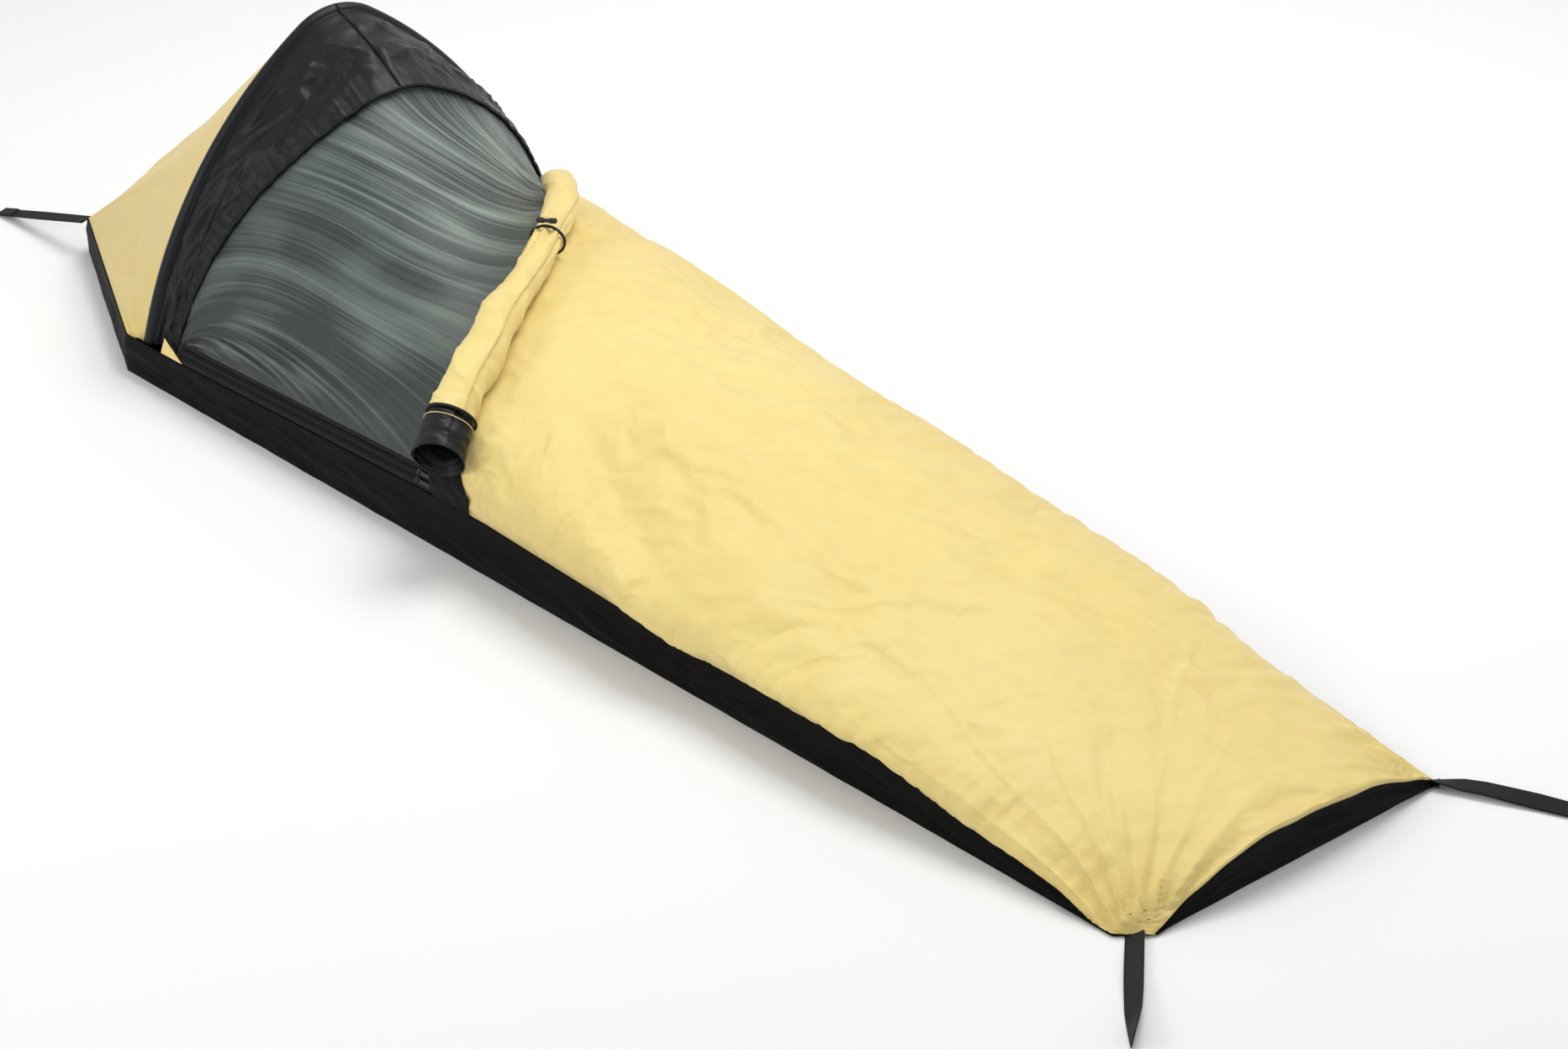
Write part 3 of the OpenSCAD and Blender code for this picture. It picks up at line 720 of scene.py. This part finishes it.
# ---------------------------------------------------------------- upper
def corner_pleats(along, across, seed, count, reach):
    """Sharp gathers fanning out of a foot corner, in distances from its two edges."""
    rho = np.hypot(along, across)
    psi = np.arctan2(across, along)
    psi = psi + 0.05 * noise(rho * 7, psi * 2, seed)
    ridge = (1 - np.abs(np.sin(count * psi + seed))) ** 1.3 - 0.35
    length = reach * (0.7 + 1.1 * np.abs(noise(psi * 6, 0.4, seed + 3)))
    return 0.0125 * smooth(rho, 0.0, 0.05) * np.exp(-rho / length) * ridge


def build_upper():
    u = np.linspace(0, 1, 320)
    U, W = np.meshgrid(u, np.linspace(0.4, 179.6, 180), indexing="ij")
    X = mix(cut_x(W), end_x(W), U)
    P = upper(X, W)
    around = np.cumsum(np.linalg.norm(np.diff(P, axis=1, prepend=P[:, :1]), axis=-1), axis=1)
    edge = np.minimum(around, around[:, -1:] - around)
    keep = smooth(edge, 0.0, 0.02) * smooth(end_x(W) - X, 0.0, 0.03) * smooth(X - cut_x(W), 0.0, 0.05)
    d = 0.008 * fractal(X * 2.0, around * 2.4, 31, 2)
    d += 0.0016 * fractal(X * 7, around * 8, 35, 3)
    d += 0.0016 * (ridged(X * 3.2 + around * 2, around * 5 - X, 41, 4.0) - 0.3) * smooth(edge, 0.0, 0.08)
    d += 0.0009 * (ridged(X * 13 - around * 6, around * 15 + X * 4, 43, 4.0) - 0.3) * smooth(edge, 0.0, 0.05)
    # a soft slanting dent on the near side, behind the rolled door
    line = (X - 0.95) * 0.42 + (around - 0.14)
    d -= 0.020 * bump(line, 0, 0.035) * bump(X, 0.93, 0.20)
    d += 0.008 * bump(line, -0.052, 0.026) * bump(X, 0.95, 0.2)
    # puckers along the wall seam
    pucker = noise(X * 34, around * 2, 51) + 0.5 * noise(X * 71, around * 3, 52)
    d += 0.0042 * pucker * smooth(edge, 0.0, 0.012) * (1 - smooth(edge, 0.03, 0.12))
    d *= keep
    off_edge = smooth(edge, 0.0, 0.012)
    d += corner_pleats(FOOT_X - X, around, 1, 15, 0.15) * off_edge
    d += corner_pleats(FOOT_X - X, around[:, -1:] - around, 5, 13, 0.08) * off_edge
    P = push(P, d)
    P = drape(P, 12, 0.6, 0.012, 0.010)
    # near the foot corner the upper hangs over the low wall
    hang = smooth(X, 1.66, 1.73) * (1 - smooth(around, 0.0, 0.05))
    P += np.stack([0.004 * hang * smooth(X, 1.73, FOOT_X), -0.0055 * hang, -0.0035 * hang], -1)
    P[..., 2] += foot_lump(P[..., 1]) * smooth(X, FOOT_X - 0.05, FOOT_X)
    P[..., 2] = np.maximum(P[..., 2], 0.002)
    # the raw edges turn down inside the wall
    near = P[:, :1] + [0, 0.0030, -0.008]
    far = P[:, -1:] + [0, -0.0030, -0.008]
    P = np.concatenate([near, P, far], axis=1)
    hem = P[-1:] + [-0.0050, 0, -0.009]
    front = push(P[:2], -0.007)[:1]
    P = np.concatenate([front + [0.002, 0, 0], P, hem])
    P[..., 2] = np.maximum(P[..., 2], 0.0012)
    return grid_object("upper_shell", P, YELLOW), P


def build_foot_tape(shell):
    """Seam film inside the upper's foot edge."""
    n = shell.shape[1]
    P = push(shell[-14:-2, n // 8 : n - n // 8], -0.0016)
    return grid_object("foot_seam_film", P, TAPE, thick=FILM)


def build_patch():
    """Black patch over the front corner of the upper."""
    U, V = unit_grid(30, 30)
    W = mix(0.5, mix(22, 12, smooth(U, 0.72, 1.0)), V)
    P = upper(mix(ZIP_X1 + 0.003, cut_x(W) + 0.004 + 0.018 * ramp(W, 0, 12), U), W)
    P = push(P, 0.0034 + 0.0016 * noise(U * 3, W * 0.3, 55))
    return grid_object("corner_patch_fabric", P, BLACK_TUB)


# ---------------------------------------------------------------- hood
def hood_half(side):
    """One half of the hood back, from the hoop down to the wall; side -1 is near, 1 far."""
    v = side * np.linspace(0.001, BACK_END, 110)
    if side < 0:
        v = v[::-1]
    U, V = np.meshgrid(np.linspace(0, 1, 80), v, indexing="ij")
    P = hood_back(U, V)
    inside = np.sin(np.pi * U)
    fan = np.sin(np.abs(V) ** 0.6 * 60 + 2.2 * noise(U * 3, V * 6, 61)) * U * inside
    d = 0.0012 * fan + 0.005 * fractal(U * 2.5, V * 4, 63 + side, 3) * inside
    d += 0.0014 * (creases(U * 4, V * 9, 66) - 0.4) * inside
    P = push(P, d)
    # the lower edge turns down inside the wall
    P = np.concatenate([P, P[-1:] * [0.995, 0.985, 1] + [0, 0, -0.010]])
    name = "hood_back_" + ("near" if side < 0 else "far") + "_fabric"
    return grid_object(name, P, YELLOW_SHADED)


def round_hoop(v, angle):
    """Points on the brim fabric where it wraps the hoop, angle from the top towards the foot."""
    q = hoop(v, BRIM_WRAP_R * math.cos(angle))
    q[..., 0] += BRIM_WRAP_R * math.sin(angle)
    return q


def brim_surface(u, v):
    """Brim without its folds; u from the hoop to the front edge."""
    u, v = np.broadcast_arrays(np.asarray(u, float), np.asarray(v, float))
    q = round_hoop(v, BRIM_WRAP)
    q = q + brim_edge_offset(v) * u[..., None]
    q[..., 2] += 0.007 * np.sin(math.pi * u) - 0.004 * u
    return q


def brim_half(side):
    """One half of the brim, and its grid: wrapped over the hoop, puckered towards its hem."""
    v = side * np.linspace(0.001, 0.985, 190)
    if side < 0:
        v = v[::-1]
    angles = mix(-1.9, BRIM_WRAP, np.linspace(0, 1, 12))
    forward = np.linspace(0, 1, 60)[1:]
    P = np.stack([round_hoop(v, a) for a in angles] + [brim_surface(u, v) for u in forward])
    U = np.concatenate([np.zeros(len(angles)), forward])[:, None] + 0 * v[None]
    V = np.broadcast_to(v[None], U.shape)
    arc = V * HALF_LEN
    free = smooth(U, 0.0, 0.25)
    calm_hem = 1 - 0.8 * smooth(U, 0.55, 0.92)
    gather = noise(arc * 60, U * 1.2, 71) + 0.55 * noise(arc * 125, U * 1.5, 72)
    d = (0.0034 if side < 0 else 0.0014) * gather * smooth(U, 0.35, 0.9)
    d += 0.0065 * noise(arc * 9 + U * 2.2, U * 1.6 + arc * 2, 74) * free * calm_hem
    d += 0.0050 * (ridged(arc * 10 + 2.5 * U, U * 1.9 - arc * 4, 76, 3.6) - 0.35) * free * calm_hem
    d += 0.0026 * (ridged(arc * 23 - 3 * U, U * 3.6 + arc * 5, 77, 3.6) - 0.35) * free * calm_hem
    d *= 1 - bump(V, 0, 0.012) * 0.9
    d -= 0.0012 * bump(V, 0, 0.0022) * free
    P = push(P, d)
    name = "brim_" + ("near" if side < 0 else "far") + "_fabric"
    return grid_object(name, P, BLACK_BRIM, flip=True), P


def brim_seam_strip():
    """Seam allowance under the middle of the brim."""
    u = np.linspace(0.02, 0.97, 40)[:, None]
    v = np.linspace(-0.02, 0.02, 9)[None]
    P = brim_surface(u, v) + [0, 0, -0.0022]
    return grid_object("brim_seam_allowance", P, BLACK_BRIM, thick=0.0006, flip=True)


def back_seam_strip():
    """Seam allowance under the middle of the hood back."""
    u = np.linspace(0.02, 0.98, 60)[:, None]
    v = np.linspace(-1, 1, 9)[None] * mix(0.016, 0.008, u)
    P = hood_back(u, v) + [0.0014, 0, -0.0022]
    return grid_object("hood_back_seam_allowance", P, YELLOW_SHADED, thick=0.0006)


def edge_binding(edges):
    """Cord in the hem along the brim's front edge, gathered."""
    line = np.concatenate(edges)
    path = follow(np.linspace(0, len(line) - 1, 520), np.arange(len(line)), line)
    radius = 0.0026 + 0.0004 * noise(np.linspace(0, 60, len(path)), 0.3, 79)
    return tube_object("brim_edge_binding", path, radius, BLACK_BRIM, sides=12)


# ---------------------------------------------------------------- insect mesh
def resample(curve, n):
    d = distances(curve)
    return follow(np.linspace(0, d[-1], n), d, curve)


def coons(bottom, top, left, right):
    """Patch between four curves; bottom and top run along axis 1, left and right along axis 0."""
    n, m = len(left), len(bottom)
    u = np.linspace(0, 1, n)[:, None, None]
    v = np.linspace(0, 1, m)[None, :, None]
    ruled_a = mix(bottom[None], top[None], u)
    ruled_b = mix(left[:, None], right[:, None], v)
    flat = mix(mix(bottom[0], bottom[-1], v), mix(top[0], top[-1], v), u)
    return ruled_a + ruled_b - flat


def relax(P, rounds):
    """Pulls the inside of a patch taut between its fixed edges."""
    for _ in range(rounds):
        P[1:-1, 1:-1] = (P[:-2, 1:-1] + P[2:, 1:-1] + P[1:-1, :-2] + P[1:-1, 2:]) / 4
    return P


# where a pull line that leaves the brim edge at a share of its length meets the lower edge;
# below zero, lines that leave the near corner
PULL_TOP = [-0.60, 0.0, 0.06, 0.16, 0.27, 0.35, 0.41, 0.48, 0.68, 1.0]
PULL_LOW = [0.02, 0.32, 0.43, 0.51, 0.61, 0.69, 0.78, 0.89, 0.94, 0.985]


def pull_label(V):
    """Which pull line each point of the net lies on, from the upper edge to the lower one."""
    t = np.linspace(PULL_TOP[0], 1, 161)
    end = np.interp(t, PULL_TOP, PULL_LOW)
    rows = np.linspace(0, 1, len(V))
    return np.stack([np.interp(V[i], mix(np.maximum(t, 0), end, rows[i]), t) for i in range(len(V))])


def build_net(brim_line):
    n_u, n_v = 170, 300
    upper_edge = resample(brim_line, n_v)
    zips = zip_line(np.linspace(ZIP_X0 + 0.004, ZIP_X1, 60)) + ZIP_UP * 0.0265
    w = np.linspace(16, 172, 120)
    lip = upper(cut_x(w), w) - [0.012, 0, -0.001]
    lower_edge = resample(np.concatenate([zips, lip]), n_v)
    t = np.linspace(0, 1, n_u)[:, None]
    left = mix(upper_edge[0], lower_edge[0], t)
    right = mix(upper_edge[-1], lower_edge[-1], t)
    P = relax(coons(upper_edge, lower_edge, left, right), 1500)
    U, V = unit_grid(n_u, n_v)
    inside = np.sin(np.pi * U) ** 0.6 * smooth(V, 0, 0.04) * (1 - smooth(V, 0.95, 1))
    pull = relax(pull_label(V), 30)
    high = smooth(pull, 0.20, 0.50)
    bent = pull + mix(0.014, 0.005, high) * noise(U * 3, V * 5, 80)
    broad = ridged(bent * 15, U * 1.3, 81, 2.4) ** 1.5
    narrow = ridged(bent * 40, U * 1.1, 83, 2.2) ** 1.5
    here = clamp(0.5 + 1.8 * noise(bent * 6, U * 2.2, 85))
    drift = fractal(P[..., 0] * 5, P[..., 2] * 9, 86, 3)
    P = push(P, (mix(0.0075, 0.0040, high) * broad * here + 0.0018 * narrow + 0.007 * drift) * inside)
    edge_fade = smooth(V, 0.0, 0.05) * np.sin(np.pi * U) ** 0.4
    base = np.interp(pull, [-0.6, 0.10, 0.32, 0.55, 1.0], [-0.30, -0.26, -0.04, -0.16, -0.22])
    # painted highlight on the crests of the broad folds, with random drift, fading off at the net's edges, over a
    # base that changes across the pull lines
    tone = (0.62 * broad * here + mix(0.36, 0.20, high) * drift) * edge_fade + base
    marks = {"fold": tone, "pull": bent, "rake": edge_fade * mix(0.35, 1.0, high)}
    return grid_object("insect_net_panel", P, NET, thick=0, marks=marks)


# ---------------------------------------------------------------- rolled door
def roll_section(w, phase, turns, steps, squash=ROLL_SQUASH):
    """A spiral section of the rolled door at each w, outer turn last."""
    centre = roll_centre(w)
    _, a, b = frames(centre)
    f = np.linspace(0, turns * 2 * math.pi, steps)
    layer = 0.0021
    r = roll_radius(w)[:, None] - layer * (turns - f[None] / (2 * math.pi))
    r = np.maximum(r, 0.003)
    ang = f[None] + phase[:, None]
    return (
        centre[:, None]
        + a[:, None] * (np.cos(ang) * r)[..., None]
        + b[:, None] * (np.sin(ang) * r * squash)[..., None]
    )


def build_roll():
    """Rolled door from its cuff to its far end, pinched where the cord ties it."""
    turns, steps = 3.2, 150
    w = np.linspace(38.6, ROLL_END_W, 300)
    phase = 3.9 + 0.004 * (w - 38) + 0.4 * noise(w * 0.05, 0.5, 91)
    P = roll_section(w, phase, turns, steps)
    centre = roll_centre(w)[:, None]
    s = np.linspace(0, 1, len(w))[:, None] * 0.7
    f = np.linspace(0, turns, steps)[None]
    around = 2 * np.pi * f
    tie = bump(w, TIE_W, 6)[:, None]
    twist = np.sin(around + s * 34 + 3 * noise(s * 6, 0.4, 92)) + 0.6 * np.sin(2 * around + s * 52 + 1.0)
    crease = (1 - np.abs(np.sin(around / 2 + s * 15 + 0.9 * noise(s * 9, 0.2, 95)))) ** 2
    crease = crease + (1 - np.abs(np.sin(around + s * 27 + 1.3 * noise(s * 13, 0.6, 98)))) ** 2
    d = 0.0016 * twist * smooth(s, 0.01, 0.1) + 0.0030 * (crease - 0.5) + 0.0014 * noise(s * 22, f * 0.4, 93)
    d = d + 0.0012 * noise(s * 60, f * 3, 94) + 0.0026 * tie * np.sin(around * 9)
    P = push(P, -d)
    close = np.sqrt(np.maximum(0, 1 - ramp(w, 121.5, ROLL_END_W) ** 2))[:, None, None]
    P = centre + (P - centre) * np.maximum(close, 0.02)
    return grid_object("door_roll_fabric", P, YELLOW, thick=0.0010, flip=True)


def build_cuff():
    """Black facing at the near end of the rolled door, an open curl."""
    turns, steps = 1.35, 130
    w = np.linspace(24.5, CUFF_END_W, 50)
    P = roll_section(w, np.full(len(w), 2.6), turns, steps)
    f = np.linspace(0, turns, steps)[None]
    s = np.linspace(0, 1, len(w))[:, None]
    flare = 0.0035 * (1 - s) ** 2
    d = 0.0024 * noise(s * 4, f * 4, 96) - flare + 0.0010 * noise(s * 9, f * 14, 97)
    P = push(P, d)
    # the end is cut slanting: short above, long below, so that it stands open
    centre = roll_centre(w)[:, None]
    along_roll = frames(roll_centre(w))[0][:, None]
    above = (unit(P - centre) @ unit([0.45, -0.35, 0.8]))[..., None]
    P = P + along_roll * above * 0.012 * (1 - s[..., None]) ** 1.5
    return grid_object("door_cuff_fabric", P, BLACK_BRIM, thick=0.0012, flip=True)


def ring_on_roll(name, w, extra, radius, material, squash=ROLL_SQUASH):
    """A closed cord round the roll at w, extra outside its radius."""
    centre = roll_centre(np.array([w - 0.5, w, w + 0.5]))
    _, a, b = frames(centre)
    f = np.linspace(0, 2 * math.pi, 60)
    r = float(roll_radius(w)) + extra
    path = centre[1] + a[1] * (np.cos(f) * r)[:, None] + b[1] * (np.sin(f) * r * squash)[:, None]
    return tube_object(name, path, radius, material, sides=8, caps=False)


def build_tie():
    """Cord pinching the roll: two turns."""
    centre = roll_centre(np.array([TIE_W - 1.0, TIE_W, TIE_W + 1.0]))
    t, a, b = frames(centre)
    f = np.linspace(0, 4 * math.pi, 150)
    r = float(roll_radius(TIE_W)) + 0.0030
    turns = (
        centre[1] + a[1] * (np.cos(f) * r)[:, None] + b[1] * (np.sin(f) * r * 0.86)[:, None]
        + t[1] * ((f - 2 * math.pi) * 0.00022)[:, None]
    )
    return tube_object("tie_cord_loop", turns, 0.0017, CORD, sides=8)


# ---------------------------------------------------------------- zips
def on_zip(x, off, out=0.0):
    """Points of the zip band at x, off up the band and out of it."""
    return zip_line(x) + ZIP_UP * np.asarray(off) + ZIP_OUT * np.asarray(out)[..., None]


def zip_tape(name, edges):
    """Woven tapes beside a coil; each edge pair is an offset up the band."""
    x = np.linspace(ZIP_X0, ZIP_X1, 240)
    strips = []
    for lo, hi in edges:
        offs = np.linspace(lo, hi, 5)
        P = np.stack([on_zip(x, o, 0.0001 + 0.0004 * noise(x * 30, o * 90, 101)) for o in offs], 1)
        strips.append(grid_object(name + "_strip", P, ZIP_TAPE, thick=FILM))
    return merge(name, strips)


def zip_coil(name, off):
    """The continuous nylon coil as a helix."""
    pitch, wire, radius = 0.0024, 0.0005, 0.0008
    turns = int((ZIP_X1 - ZIP_X0 - 0.008) / pitch)
    f = np.linspace(0, turns * 2 * math.pi, turns * 9)
    x = ZIP_X0 + 0.004 + f / (2 * math.pi) * pitch
    path = on_zip(x, off) + ZIP_UP * (np.cos(f) * radius)[:, None] + ZIP_OUT * (np.sin(f) * radius)[:, None]
    return tube_object(name, path, wire, COIL, sides=5)


def build_gusset():
    """Small yellow triangle between the brim and the zips."""
    U, V = unit_grid(24, 12)
    x = 0.082 + 0.046 * U
    off = 0.0006 + V * (0.019 * (1 - U) ** 1.1 + 0.0012)
    P = on_zip(x, off[..., None], 0.0016 + 0.0008 * noise(U * 5, V * 2, 105))
    return grid_object("side_gusset_fabric", P, YELLOW, thick=0.0006)


# ---------------------------------------------------------------- stake-out straps
def strap_path(root, yaw, pitch, length, rise, twist):
    """Webbing from a corner; rise and twist are (share, value) tables along it."""
    t = np.linspace(0, 1, 70)
    yaw, pitch = math.radians(yaw), math.radians(pitch)
    level = np.array([math.cos(yaw), math.sin(yaw), 0.0])
    along = level * math.cos(pitch) - np.array([0, 0, math.sin(pitch)])
    side = np.array([-level[1], level[0], 0.0])
    lift_dir = np.cross(along, side)
    share, height = zip(*rise)
    path = np.asarray(root) + along * (t * length)[:, None] + [0, 0, 1] * np.interp(t, share, height)[:, None]
    share, angle = zip(*twist)
    a = np.radians(np.interp(t, share, angle))[:, None]
    return path, side * np.cos(a) + lift_dir * np.sin(a)


# root, yaw and pitch in degrees, length, rise, twist, width
STRAPS = {
    "strap_head_near": (
        (HEAD_X, -HEAD_HALF, WALL - 0.001), 188, 14.3, 0.208,
        ((0, 0), (1, 0.004)), ((0, -12), (0.5, -16), (1, -10)), 0.018,
    ),
    "strap_head_far": (
        (HEAD_X, HEAD_HALF, WALL - 0.001), 172, 14.3, 0.208,
        ((0, 0), (1, 0.004)), ((0, -8), (0.4, -25), (1, -4)), 0.018,
    ),
    "strap_foot_near": (
        (FOOT_X - 0.012, -FOOT_HALF - 0.020, 0.003), -46, 0, 0.187,
        ((0, 0.001), (0.5, 0.004), (1, 0.007)), ((0, 18), (0.35, 4), (0.7, 34), (1, 82)), 0.020,
    ),
    "strap_foot_far": (
        (FOOT_X - 0.002, FOOT_HALF - 0.001, 0.004), 27, 0, 0.187,
        ((0, 0.003), (0.3, 0.006), (1, 0.001)), ((0, -31), (0.18, 8), (0.6, 25), (1, 10)), 0.020,
    ),
}


def build_strap(name):
    """A strap lying on the ground, with its end folded back as a hem."""
    root, yaw, pitch, length, rise, twist, width = STRAPS[name]
    path, across = strap_path(root, yaw, pitch, length, rise, twist)
    path[:, 2] = np.maximum(path[:, 2], 0.0018 + 0.5 * width * np.abs(across[:, 2]))
    strap = ribbon(name + "_webbing", path, across, width, WEB)
    folded = ribbon("hem", path[-12:] + [0, 0, 0.0016], across[-12:], width, WEB)
    return merge(name + "_webbing", [strap, folded])


# ---------------------------------------------------------------- stitching
def stitches(name, line, lift_by):
    """A row of lockstitches along a line, as short thread segments."""
    pitch, radius = 0.0042, 0.00028
    d = distances(line)
    at = np.arange(pitch, d[-1] - pitch, pitch)
    ends = np.concatenate([at - pitch * 0.32, at + pitch * 0.32])
    q = follow(ends, d, line) + lift_by
    a, b = q[: len(at)], q[len(at):]
    t = unit(b - a)
    n1 = unit(np.cross(t, [0.31, 0.2, 0.93]))
    n2 = np.cross(t, n1)
    corners = [n1 + n2, n1 - n2, -n1 - n2, -n1 + n2]
    V = np.stack([end + c * radius for end in (a, b) for c in corners], 1).reshape(-1, 3)
    faces = [(0, 1, 5, 4), (1, 2, 6, 5), (2, 3, 7, 6), (3, 0, 4, 7), (0, 3, 2, 1), (4, 5, 6, 7)]
    quads = (np.arange(len(at))[:, None, None] * 8 + np.array(faces)[None]).reshape(-1, 4)
    mesh = bpy.data.meshes.new(name)
    mesh.from_pydata(V.tolist(), [], quads.tolist())
    mesh.materials.append(THREAD)
    return add_object(name, mesh)


# ---------------------------------------------------------------- build
tub, wall_points = build_tub()
shown(tub, "sack", "floor_fabric", "floor_tub")
shown(floor_sheet(), "sack", "floor_fabric")
shown(build_wall_tape(wall_points), "sack", "seam_tape", "wall_seam_tape")
upper_shell, shell_points = build_upper()
shown(upper_shell, "sack", "shell_fabric", "upper_panel")
shown(build_foot_tape(shell_points), "sack", "seam_tape", "foot_seam_tape")

for side, node in ((-1, "hood_back_near"), (1, "hood_back_far")):
    spanning(hood_half(side), node)

brim_lines = []
for side, node in ((-1, "brim_near"), (1, "brim_far")):
    panel, P = brim_half(side)
    brim_lines.append(P[-1])
    shown(panel, "hood_hoop", "brim_fabric", node)
shown(edge_binding(brim_lines), "hood_hoop", "elastic", "brim_edge_cord")
shown(brim_seam_strip(), "hood_hoop", "brim_fabric", "brim_seam")
spanning(back_seam_strip(), "hood_back_seam")
along_brim = np.linspace(0.02, 0.99, 60)
for k, v in enumerate((-0.0065, 0.0065)):
    line = brim_surface(along_brim, np.full(60, v))
    shown(stitches(f"brim_stitch_{k}", line, [0, 0, 0.0009]), "hood_hoop", "thread")

net_edge = np.concatenate(brim_lines) + np.array([-0.004, 0, -0.005])
spanning(build_net(net_edge), "mesh_panel")

shown(build_roll(), "sack", "shell_fabric", "door_roll")
shown(build_cuff(), "sack", "brim_fabric", "door_cuff")
shown(ring_on_roll("door_piping_bead", CUFF_END_W, 0.0012, 0.0022, BLACK_BRIM), "sack", "brim_fabric", "door_piping")
shown(ring_on_roll("door_cuff_stitch", 36.2, 0.0008, 0.0006, PALE_THREAD), "sack", "thread")
shown(build_patch(), "sack", "brim_fabric", "corner_patch")
shown(build_tie(), "sack", "elastic", "tie_cord")
shown(build_gusset(), "sack", "shell_fabric", "side_gusset")
shown(zip_tape("mesh_zip_tape_woven", ((0.0120, 0.0172), (0.0208, 0.0262))), "sack", "zip_tape", "mesh_zip_tape")
shown(zip_tape("door_zip_tape_woven", ((0.0005, 0.0074), (0.0103, 0.0116))), "sack", "zip_tape", "door_zip_tape")
shown(zip_coil("mesh_zip_coil_helix", MESH_ZIP), "sack", "zip_coil", "mesh_zip_coil")
shown(zip_coil("door_zip_coil_helix", DOOR_ZIP), "sack", "zip_coil", "door_zip_coil")
for name in STRAPS:
    shown(build_strap(name), name + "_web", "webbing", name)

# hard and small pieces keep the frame's own solids
for name, mat in (
    ("pole_crown_section", TUBE), ("pole_upper_sections", TUBE), ("pole_lower_sections", TUBE),
    ("pole_ferrules", TUBE), ("pole_end_tips", PLASTIC), ("tip_pockets", WEB), ("shock_cord", SHOCK),
    ("pole_sleeve", BLACK_BRIM),
    ("mesh_slider", PLASTIC), ("mesh_pull", PLASTIC), ("door_slider", PLASTIC), ("door_pull", PLASTIC),
    ("zip_end_stops", PLASTIC), ("tie_toggle", PLASTIC), ("bar_tacks", THREAD),
):
    obj = frame["nodes"][name]
    obj.data.materials.clear()
    obj.data.materials.append(mat)


# ---------------------------------------------------------------- stage, light, camera
def build_stage():
    size = 14.0
    mesh = bpy.data.meshes.new("ground")
    mesh.from_pydata([(-size, -size, 0), (size, -size, 0), (size, size, 0), (-size, size, 0)], [], [(0, 1, 2, 3)])
    ground = add_object("ground", mesh)
    m = Nodes("ground_pale")
    tone = m.noise(m.coords("Object"), 0.6, 3.0, 0.5)
    m.set(Base_Color=mix_socket(m, tone, (0.86, 0.86, 0.86, 1), (0.88, 0.88, 0.88, 1)), Roughness=0.9)
    mesh.materials.append(m.mat)


def area_light(name, place, aim, side, power):
    data = bpy.data.lights.new(name, "AREA")
    data.shape = "RECTANGLE"
    data.size, data.size_y = side, side
    data.energy = power
    lamp = add_object(name, data)
    lamp.location = place
    lamp.rotation_mode = "QUATERNION"
    lamp.rotation_quaternion = (Vector(aim) - Vector(place)).to_track_quat("-Z", "Y")


def build_light():
    world = bpy.data.worlds.new("studio")
    world.use_nodes = True
    background = world.node_tree.nodes["Background"]
    background.inputs["Color"].default_value = (1.0, 1.0, 1.0, 1)
    background.inputs["Strength"].default_value = 0.66
    bpy.context.scene.world = world
    area_light("key", (0.5, 1.1, 3.0), (0.5, 0, 0), 1.6, 57)
    area_light("fill", (0.1, -2.8, 1.9), (0.1, -0.2, 0.2), 0.8, 20)


def build_camera():
    azimuth, elevation, distance = math.radians(49.73), math.radians(28.82), 3.97
    aim = Vector((1.088, -0.122, 0.15))
    back = Vector(
        (math.sin(azimuth) * math.cos(elevation), -math.cos(azimuth) * math.cos(elevation), math.sin(elevation))
    )
    data = bpy.data.cameras.new("camera")
    data.sensor_width = 36
    data.lens = 81.07
    camera = add_object("camera", data)
    camera.rotation_mode = "QUATERNION"
    camera.location = aim + back * distance
    camera.rotation_quaternion = (-back).to_track_quat("-Z", "Y")
    bpy.context.scene.camera = camera


build_stage()
build_light()
build_camera()
bpy.context.scene.view_settings.view_transform = "Standard"
